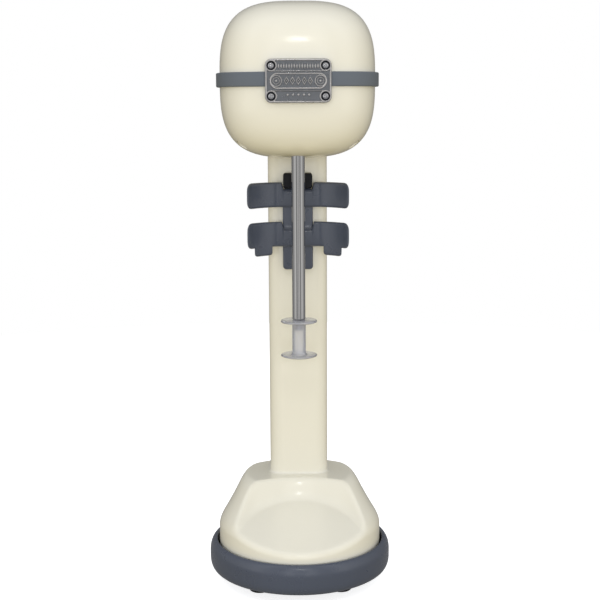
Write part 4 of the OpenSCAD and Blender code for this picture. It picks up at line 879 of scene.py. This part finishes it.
NX, NZ = 264, 164
plate_verts, plate_relief = [], []
for j in range(NZ + 1):
    z = PLATE_H * (j / NZ - 0.5)
    over = max(abs(z) - (PLATE_H / 2 - PLATE_CORNER), 0)
    half = PLATE_W / 2 - PLATE_CORNER + math.sqrt(max(PLATE_CORNER ** 2 - over ** 2, 0))
    for i in range(NX + 1):
        x = half * (2 * i / NX - 1)
        depth = plate_depth(x, z)
        plate_verts.append((x, head_front_y(x, PLATE_FRONT - depth), PLATE_Z + z))
        plate_relief.append(min(depth / ENGRAVED, 2.5))
row = NX + 1
plate_faces = [(j * row + i, j * row + i + 1, (j + 1) * row + i + 1, (j + 1) * row + i)
               for j in range(NZ) for i in range(NX)]
rim = ([i for i in range(row)] + [j * row + NX for j in range(1, NZ + 1)] +
       [NZ * row + i for i in range(NX - 1, -1, -1)] + [j * row for j in range(NZ - 1, 0, -1)])
back_start = len(plate_verts)
for n in rim:
    x, y, z = plate_verts[n]
    plate_verts.append((x, head_front_y(x, PLATE_BACK), z))
    plate_relief.append(1.0)
for i in range(len(rim)):
    k = (i + 1) % len(rim)
    plate_faces.append((rim[k], rim[i], back_start + i, back_start + k))
# back sheet in columns, so it follows the head
left = [back_start + n for n in range(len(rim))]
bottom_row, top_row = left[:row], left[row + NZ - 1: row + NZ - 1 + row][::-1]
for i in range(NX):
    plate_faces.append((bottom_row[i + 1], bottom_row[i], top_row[i], top_row[i + 1]))
plate = piece("plate", (plate_verts, plate_faces), mat("pewter"), "frame", ["nameplate"], 60)
relief = plate.data.attributes.new("relief", "FLOAT", "POINT")
relief.data.foreach_set("value", plate_relief)


def cross_screw(cx, seat_y, cz, r, dome, name_turn, axis="-y"):
    """Domed screw head with a cross recess; seat_y is its underside."""
    rings, spokes = 16, 72
    verts, faces = [], []
    s = -1 if axis == "-y" else 1
    for j in range(1, rings + 1):
        rr = r * j / rings
        for i in range(spokes):
            a = 2 * math.pi * i / spokes
            u, v = rr * math.cos(a), rr * math.sin(a)
            c, n = math.cos(name_turn), math.sin(name_turn)
            p, q = u * c + v * n, -u * n + v * c
            h = dome * math.sqrt(max(1 - (rr / r) ** 2 * 0.92, 0))
            arm = min(max(abs(p) - 0.17 * r, abs(q) - 0.62 * r),
                      max(abs(q) - 0.17 * r, abs(p) - 0.62 * r))
            h -= 0.55 * dome * step(arm, 0.14 * r) * (1 - 0.4 * rr / r)
            verts.append((cx + u, seat_y + s * (h + 0.25), cz + v))
    centre = len(verts)
    verts.append((cx, seat_y + s * (0.45 * dome + 0.25), cz))
    for i in range(spokes):
        k = (i + 1) % spokes
        faces.append((centre, i, k))
        for j in range(rings - 1):
            faces.append((j * spokes + i, (j + 1) * spokes + i, (j + 1) * spokes + k, j * spokes + k))
    base = len(verts)
    for i in range(spokes):
        a = 2 * math.pi * i / spokes
        verts.append((cx + r * math.cos(a), seat_y, cz + r * math.sin(a)))
    for i in range(spokes):
        k = (i + 1) % spokes
        o = (rings - 1) * spokes
        faces.append((o + i, base + i, base + k, o + k))
    faces.append(tuple(range(base, base + spokes)))
    return verts, faces


screws = []
for n, (sx, sz) in enumerate(PLATE_SCREW):
    seat = head_front_y(sx, PLATE_FRONT) + 2
    screws.append(cross_screw(sx, seat, PLATE_Z + sz, 2.55, 1.7, 0.35 + 0.7 * n))
piece("plate_screws", join(*screws), mat("screw_head"), "frame", ["nameplate_screws"], 50)

# ------------------------------------------------------------------ column and rear panel


def column_ring(off, z):
    pts = rounded_rect(COL_W + 2 * off, COL_D + 2 * off, COL_CORNER + off, 14)
    return [(u, COL_Y + v, z) for u, v in pts]


z0, z1 = COLUMN_LOW[2], COLUMN_HIGH[2]
rings = [column_ring(-0.35, z0), column_ring(0, z0 + 0.35)]
rings += [column_ring(0, z0 + (z1 - z0) * k / 12) for k in range(1, 12)]
rings += [column_ring(0, z1 - 0.4), column_ring(-0.4, z1), column_ring(-COL_WALL, z1),
          column_ring(-COL_WALL, z0)]
piece("post", loft(rings, caps=False, wrap=True), mat("cream_paint"), "frame", ["column"])

PANEL_W, PANEL_H = PANEL_HIGH[0] - PANEL_LOW[0], PANEL_HIGH[2] - PANEL_LOW[2]
PANEL_Z = (PANEL_HIGH[2] + PANEL_LOW[2]) / 2
PANEL_T = PANEL_HIGH[1] - PANEL_LOW[1]
SOCKET_Z = (SOCKET_HIGH[2] + SOCKET_LOW[2]) / 2
FACE_Y = PANEL_HIGH[1]
PANEL_SCREW_IN = 6.0
panel_shape = slab(lambda i: rounded_rect(PANEL_W, PANEL_H, 4, 8, i), round_over(PANEL_T, 0.9, 5, 0.15),
                   facing("+y", 0, COL_REAR, PANEL_Z))
window = slab(lambda i: rounded_rect(13, 19, 0.4, 3, i), [(0, 0), (0, 12)],
              facing("+y", 0, COL_REAR - 5, SOCKET_Z))
piece("back_panel", cut(panel_shape, [window]), mat("cream_paint"), "frame", ["rear_panel"])

screws = [cross_screw(0, FACE_Y, z, 2.8, 1.55, 0.4 + z, "+y")
          for z in (PANEL_LOW[2] + PANEL_SCREW_IN, PANEL_HIGH[2] - PANEL_SCREW_IN)]
piece("back_screws", join(*screws), mat("screw_head"), "frame", ["panel_screws"], 50)

# rocker switch in the panel
bezel = slab(lambda i: rounded_rect(15.5, 22, 1.6, 6, i), round_over(1.5, 0.6, 4, 0.1),
             facing("+y", 0, FACE_Y, SOCKET_Z))
socket_depth = SOCKET_HIGH[1] - SOCKET_LOW[1] - 1
body = slab(lambda i: rounded_rect(12.7, 18.7, 0.8, 3, i), [(0.2, 0), (0, 0.2), (0, socket_depth)],
            facing("+y", 0, SOCKET_LOW[1], SOCKET_Z))
well = slab(lambda i: rounded_rect(10.6, 16.6, 0.8, 5, i), [(0, 0), (0, 14)],
            facing("+y", 0, FACE_Y - 9, SOCKET_Z))
socket = cut(cut(bezel, [body], "UNION"), [well])
piece("switch_frame", socket, mat("black_plastic"), "frame", ["rocker_housing"])

rock_w = 9.5
half = (ROCKER_HIGH[2] - ROCKER_LOW[2]) / 2
rocker_profile = [(FACE_Y - 4, -0.55 * half), (FACE_Y - 1, -half), (FACE_Y + 3.1, -half)]
rocker_tip = curve((FACE_Y + 3.4, -half), (FACE_Y + 3.9, -half), (FACE_Y + 3.7, -half + 0.8), 3)
rocker_profile += rocker_tip
rocker_profile += [(FACE_Y + 1.9 + 1.8 * (abs(t) ** 1.5), t * half) for t in np.linspace(-0.9, 0.9, 15)]
rocker_profile += [(y, -z) for y, z in reversed(rocker_tip)]
rocker_profile += [(FACE_Y + 3.1, half), (FACE_Y - 1, half), (FACE_Y - 4, 0.55 * half)]
rock_rings = []
for x, inset in ((-rock_w / 2, 0.3), (-rock_w / 2 + 0.12, 0.09), (-rock_w / 2 + 0.35, 0),
                 (rock_w / 2 - 0.35, 0), (rock_w / 2 - 0.12, 0.09), (rock_w / 2, 0.3)):
    rock_rings.append([(x, y - inset * (1 if y > FACE_Y else -1), SOCKET_Z + z * (1 - inset / half))
                       for y, z in rocker_profile])
pin = turned([(0, 0), (1.4, 0), (1.4, 12), (0, 12)], "+y", 0, 0, 0, 24)
pin = ([(y - 6, FACE_Y - 2.5 + x, SOCKET_Z + z) for x, y, z in pin[0]], pin[1])
piece("rocker_key", join(loft(rock_rings), pin), mat("black_plastic"), "rocker", ["speed_rocker"])

# ------------------------------------------------------------------ base

N_RAY = 240
EDGE_ROWS, TOP_ROWS = 13, 60
COVER_WALL = 3.0


def cover_rows(wall):
    rows = []
    for k in range(1 + EDGE_ROWS + TOP_ROWS):
        ring = []
        for i in range(N_RAY):
            t = 2 * math.pi * i / N_RAY
            rim_r = ray_to(COVER_R, t)
            edge = ray_to(COVER_R - EDGE_ROUND, t)
            ct, st = math.cos(t), math.sin(t)
            edge_z = cover_height(edge * ct, PLATEAU_Y + edge * st)
            turn_z = min(SHOULDER_Z - 4.3, edge_z - 1.9)
            if k == 0:
                r, z = rim_r, LEDGE_Z
            elif k <= EDGE_ROWS:
                a = (k - 1) / (EDGE_ROWS - 1)
                r = bend(rim_r, rim_r, edge, a)
                z = bend(turn_z - EDGE_ROUND, turn_z, edge_z, a)
            else:
                s = 1 - (k - EDGE_ROWS) / (TOP_ROWS + 0.5)
                r = edge * s
                z = cover_height(r * ct, PLATEAU_Y + r * st)
            shrink = (rim_r - wall) / rim_r
            if wall and k:
                z -= wall
            ring.append((r * shrink * ct, PLATEAU_Y + r * shrink * st, z))
        rows.append(ring)
    return rows


outer_rows, inner_rows = cover_rows(0.0), cover_rows(COVER_WALL)
rows = outer_rows + inner_rows[::-1]
verts, faces = loft(rows, caps=False, wrap=True)
half_rows = len(outer_rows)
faces = [f for n, f in enumerate(faces) if not (half_rows - 1) * N_RAY <= n < half_rows * N_RAY]
faces.append(tuple((half_rows - 1) * N_RAY + i for i in range(N_RAY)))
faces.append(tuple(half_rows * N_RAY + i for i in reversed(range(N_RAY))))
# soft fillet where the column stands on the cover
fillet = [(2.6, -0.02), (1.7, 0.10), (1.0, 0.35), (0.5, 0.75), (0.22, 1.25), (0.06, 1.9), (-0.4, 1.9),
          (-0.4, -1.0), (2.6, -1.0)]
foot = [column_ring(off, PLATEAU_Z + dz) for off, dz in fillet]
piece("cover_shell", join((verts, faces), loft(foot, caps=False, wrap=True)), mat("cream_paint"), "frame",
      ["base_cover"], 40)

LIP_IN = COVER_R + 2
TRAY_FLOOR = 3.0
top = LIP_Z
profile = [(0, TRAY_Z), (BASE_R - 6.5, TRAY_Z)]
profile += curve((BASE_R - 6, TRAY_Z), (BASE_R - 0.4, TRAY_Z + 0.6), (BASE_R, TRAY_Z + 9), 12)
SHOULDER_W, SHOULDER_H = 5.8, 11.0
profile += [(BASE_R - SHOULDER_W + SHOULDER_W * math.cos(a), top - SHOULDER_H + SHOULDER_H * math.sin(a))
            for a in (math.radians(90 * k / 16) for k in range(17))]
profile += [(LIP_IN + 0.4, top - 0.5), (LIP_IN, top - 0.9), (LIP_IN, LEDGE_Z), (LIP_IN - 7, LEDGE_Z),
            (LIP_IN - 7, TRAY_Z + TRAY_FLOOR), (0, TRAY_Z + TRAY_FLOOR)]
gland_z = (GLAND_LOW[2] + GLAND_HIGH[2]) / 2
tools = [turned([(0, 0), (7.15, 0), (7.15, 30), (0, 30)], "+y", 0, BASE_R - 20, gland_z, 48),
         slab(lambda i: rounded_rect(22, 19, 1.5, 4, i), [(0, 0), (0, 10)],
              facing("+y", 0, BASE_R - 2.5, gland_z))]
tray = cut(lathe(profile, 240), tools)
piece("tray", tray, mat("slate_paint"), "frame", ["base_tray"], 32)

gland_profile = [(3.6, 0), (7, 0), (7, 13.5), (8.6, 13.5), (9.1, 14.0), (9.1, 15.6), (8.7, 16.1), (7.4, 16.5),
                 (4.4, 16.5), (3.6, 15.8)]
piece("gland", turned(gland_profile, "+y", 0, BASE_R - 16.5, gland_z, 64), mat("black_plastic"), "frame",
      ["cord_gland"], 40)

foot_r = 9.5
foot_at = FEET_HIGH[0] - foot_r
foot_h = FEET_HIGH[2]
foot_profile = [(2.8, 5), (5.2, 5), (5.2, 0.6), (5.8, 0.0), (6.6, 0), (6.9, 0.5), (7.3, 0.5), (7.6, 0)]
foot_profile += curve((foot_r - 1.3, 0), (foot_r - 0.1, 0.1), (foot_r, 2), 6)
foot_profile += [(foot_r, foot_h - 2.2), (foot_r - 0.35, foot_h - 1.9), (foot_r - 0.35, foot_h - 1.4),
                 (foot_r, foot_h - 1.1), (foot_r, foot_h), (2.8, foot_h)]
feet = [lathe(foot_profile, 64, sx * foot_at, sy * foot_at) for sx in (-1, 1) for sy in (-1, 1)]
piece("feet", join(*feet), mat("rubber"), "frame", ["rubber_feet"], 30)

# ------------------------------------------------------------------ spindle and agitator

TOP_Z = SPINDLE_HIGH[2]
shaft = [(0, SPINDLE_LOW[2]), (1.9, SPINDLE_LOW[2]), (2.35, SPINDLE_LOW[2] + 0.5), (2.35, SPINDLE_END),
         (SPINDLE_R - 0.9, SPINDLE_END), (SPINDLE_R - 0.3, SPINDLE_END + 0.25),
         (SPINDLE_R, SPINDLE_END + 0.9)]
shaft += [(SPINDLE_R, SPINDLE_END + 1.0), (SPINDLE_R, SPINDLE_END + 1.3)]
shaft += [(SPINDLE_R, SPINDLE_END + 1.3 + (TOP_Z - SPINDLE_END - 1.9) * k / 6) for k in range(1, 7)]
shaft += [(SPINDLE_R - 0.5, TOP_Z), (0, TOP_Z)]
piece("shaft_rod", lathe(shaft, 128, 0, SPINDLE_Y), mat("polished_steel"), "rotor", ["spindle"],
      28)

DISC_R = (AGITATOR_HIGH[0] - AGITATOR_LOW[0]) / 2
DISC_APART = 30.0
hub = 5.7
top_disc = SPINDLE_END - 0.8
low_disc = top_disc - DISC_APART
bore = 2.45
profile = [(0, low_disc - 2.6)]
profile += curve((hub - 2, low_disc - 2.6), (hub + 1, low_disc - 2.5), (hub + 4, low_disc - 1.8), 4)
profile += curve((DISC_R - 1.6, low_disc - 0.6), (DISC_R, low_disc - 0.3), (DISC_R, low_disc + 0.5), 4)
profile += curve((DISC_R, low_disc + 0.6), (DISC_R - 0.2, low_disc + 1.3), (DISC_R - 1.4, low_disc + 1.3), 4)
profile += curve((hub + 3.2, low_disc + 0.7), (hub, low_disc + 0.8), (hub, low_disc + 3.6), 6)
profile += curve((hub, top_disc - 3.6), (hub, top_disc - 1.7), (hub + 2.0, top_disc - 1.6), 6)
profile += curve((DISC_R - 1.4, top_disc - 1.5), (DISC_R - 0.1, top_disc - 1.4), (DISC_R, top_disc - 0.7), 4)
profile += curve((DISC_R, top_disc - 0.5), (DISC_R, top_disc + 0.5), (DISC_R - 1.2, top_disc + 0.6), 4)
profile += [(hub, top_disc + 0.75), (bore, top_disc + 0.75), (bore, SPINDLE_END - 9.0),
            (0, SPINDLE_END - 9.0)]
piece("mixing_discs", lathe(profile, 128, 0, SPINDLE_Y), mat("clear_plastic"), "rotor", ["agitator"],
      40)

# ------------------------------------------------------------------ cup holder

WING_FRONT = COL_FRONT - 12
WING_T = 5.0
WING_R = 48.0
BRIDGE = 18.5
SPAN = HOLDER_HIGH[0]
AXIS_Y = WING_FRONT - math.sqrt(WING_R ** 2 - BRIDGE ** 2)
WING_H = 21.5
SPINE_Z = HOLDER_LOW[2]
SPINE_TOP = PAD_LOW[2] - 1
UPPER_Z = SPINE_TOP - 15.3
LOWER_Z = SPINE_Z + 20.3
BULL = 2.1
CORNER = 4.0
NOTCH = 7.0
NOTCH_HALF, NOTCH_SIDE = 14.0, 2.2
TAB_IN, TAB_OUT, TAB_H, TAB_R = 22.0, 37.0, 7.4, 2.5
# stations where the outline turns, besides the even ones
TURNS = (11.8, 12.3, 12.8, 13.4, 14.0, 21.9, 22.0, 22.05, 22.3, 22.8, 23.4,
         35.6, 36.2, 36.7, 36.95, 37.0, 37.1)


def wing_faces(x):
    x = abs(x)
    front = soft_min(WING_FRONT, AXIS_Y + math.sqrt(max(WING_R ** 2 - x * x, 0)), 1.0)
    behind = soft_min(WING_FRONT + WING_T, AXIS_Y + math.sqrt((WING_R + WING_T) ** 2 - x * x), 1.0)
    return front, behind


def wing_top(x, z):
    x = abs(x)
    cut_in = min(max((NOTCH_HALF - x) / NOTCH_SIDE, 0), 1)
    cut_in = cut_in * cut_in * (3 - 2 * cut_in) * 0.5 + cut_in * 0.5
    top_z = z + WING_H - NOTCH * cut_in
    near = max(x - (SPAN - CORNER), 0)
    return top_z - (CORNER - math.sqrt(max(CORNER ** 2 - near ** 2, 0)))


def wing_bottom(x, z, tabs):
    x = abs(x)
    low = z
    if tabs and TAB_IN - 0.1 < x < TAB_OUT + 0.1:
        near = max(TAB_IN + TAB_R - x, x - (TAB_OUT - TAB_R), 0)
        low = z - TAB_H + TAB_R - math.sqrt(max(TAB_R * TAB_R - near * near, 0)) if near <= TAB_R else z
    near = max(x - (SPAN - CORNER), 0)
    return low + (CORNER - math.sqrt(max(CORNER ** 2 - near ** 2, 0)))


def wing(z, tabs):
    stations = set(np.round(np.linspace(-SPAN + BULL, SPAN - BULL, 113), 3))
    for s in (-1, 1):
        for x in TURNS:
            stations.add(s * x)
    rows = []
    ends = [(BULL * math.cos(a), BULL * (1 - math.sin(a)))
            for a in (math.radians(18 * k) for k in range(5))]
    line = [(-SPAN + BULL - dx, i) for dx, i in ends]
    line += [(x, 0.0) for x in sorted(stations)]
    line += [(SPAN - BULL + dx, i) for dx, i in reversed(ends)]
    for x, inset in line:
        front, behind = wing_faces(x)
        slope = 1 + 0.5 * min(abs(x) / SPAN, 1)
        lo, hi = wing_bottom(x, z, tabs), wing_top(x, z)
        depth = behind - front
        r = max(min(BULL, depth / 2 - inset * slope - 0.02, (hi - lo) / 2 - inset - 0.02), 0.05)
        w, hgt = max(depth - 2 * inset * slope, 0.12), max(hi - lo - 2 * inset, 0.12)
        ring = [(x, (front + behind) / 2 + u, (lo + hi) / 2 + v) for u, v in rounded_rect(w, hgt, r, 6)]
        rows.append(ring)
    return loft(rows)


SPINE_H = SPINE_TOP + 0.7 - SPINE_Z
SPINE_W, SPINE_T = 26.0, 9.0
spine = slab(lambda i: rounded_rect(SPINE_W, SPINE_H, 3, 8, i), round_over(SPINE_T, 1.3, 5, 0.1),
             facing("-y", 0, COL_FRONT, SPINE_Z + SPINE_H / 2))


def ramp(z, rise):
    """Sloping floor of a notch, up from the wing's bridge to the spine."""
    pts = [(WING_FRONT + 0.9, z - 0.4)]
    pts += curve((WING_FRONT + 0.9, z - 0.2), (WING_FRONT + 2.0, z + 0.3), (WING_FRONT + 3.2, z + rise), 6)
    pts += [(WING_FRONT + 4.5, z + rise), (WING_FRONT + 4.5, z - 0.4)]
    rows = []
    for x in (-12.3, -11.9, -11.0, 11.0, 11.9, 12.3):
        lift = 0.5 if abs(x) > 12.2 else (0.15 if abs(x) > 11.5 else 0.0)
        rows.append([(x, y, zz - lift) for y, zz in pts])
    return loft(rows)


bores = []
for z in (SPINE_Z + 9, (UPPER_Z + LOWER_Z + WING_H) / 2):
    bores.append(turned([(0, 0), (4.8, 0), (4.8, 12.8), (0, 12.8)], "+y",
                        0, COL_FRONT - SPINE_T - 10 + 0.4, z, 48))
    bores.append(turned([(0, 0), (2.8, 0), (2.8, 20), (0, 20)], "+y", 0, COL_FRONT - 12, z, 32))
holder = join(wing(UPPER_Z, False), wing(LOWER_Z, True), mesh_shape(cut(spine, bores)),
              ramp(LOWER_Z + WING_H - NOTCH, 3.9), ramp(UPPER_Z + WING_H - NOTCH, 1.2))
piece("cup_rest", holder, mat("slate_paint"), "frame", ["cup_holder"], 36)

# switch pad with its stem
PAD_W = PAD_HIGH[0] - PAD_LOW[0]
PAD_H = 13.0
PAD_Z = (PAD_LOW[2] + PAD_HIGH[2]) / 2
PAD_FRONT = PAD_LOW[1]
PAD_T = 9.5
STEM_LENGTH = 18.7
pad = slab(lambda i: rounded_rect(PAD_W, PAD_H, 2.2, 8, i), round_over(PAD_T, 1.2, 5, 0.3),
           facing("-y", 0, PAD_FRONT + PAD_T, PAD_Z))
stem = [(0, 0), (4, 0), (4, 10.1), (3.2, 10.1), (3.2, 11.3), (4, 11.3), (4, 17.2), (3.6, 17.4), (1.5, 17.4),
        (1.5, STEM_LENGTH - 0.3), (1.2, STEM_LENGTH), (0, STEM_LENGTH)]
stem = turned(stem, "+y", 0, PAD_HIGH[1] - STEM_LENGTH, PAD_Z, 40)
piece("cup_pad", join(pad, stem), mat("black_plastic"), "pad", ["switch_pad"], 36)

# ------------------------------------------------------------------ materials of the CAD pieces that stay

slots = {s["node"]: s["material_slot"] for s in frame["record"]["subparts"]}
for name, ob in frame["nodes"].items():
    ob.data.materials.clear()
    ob.data.materials.append(mat(slots[name]))
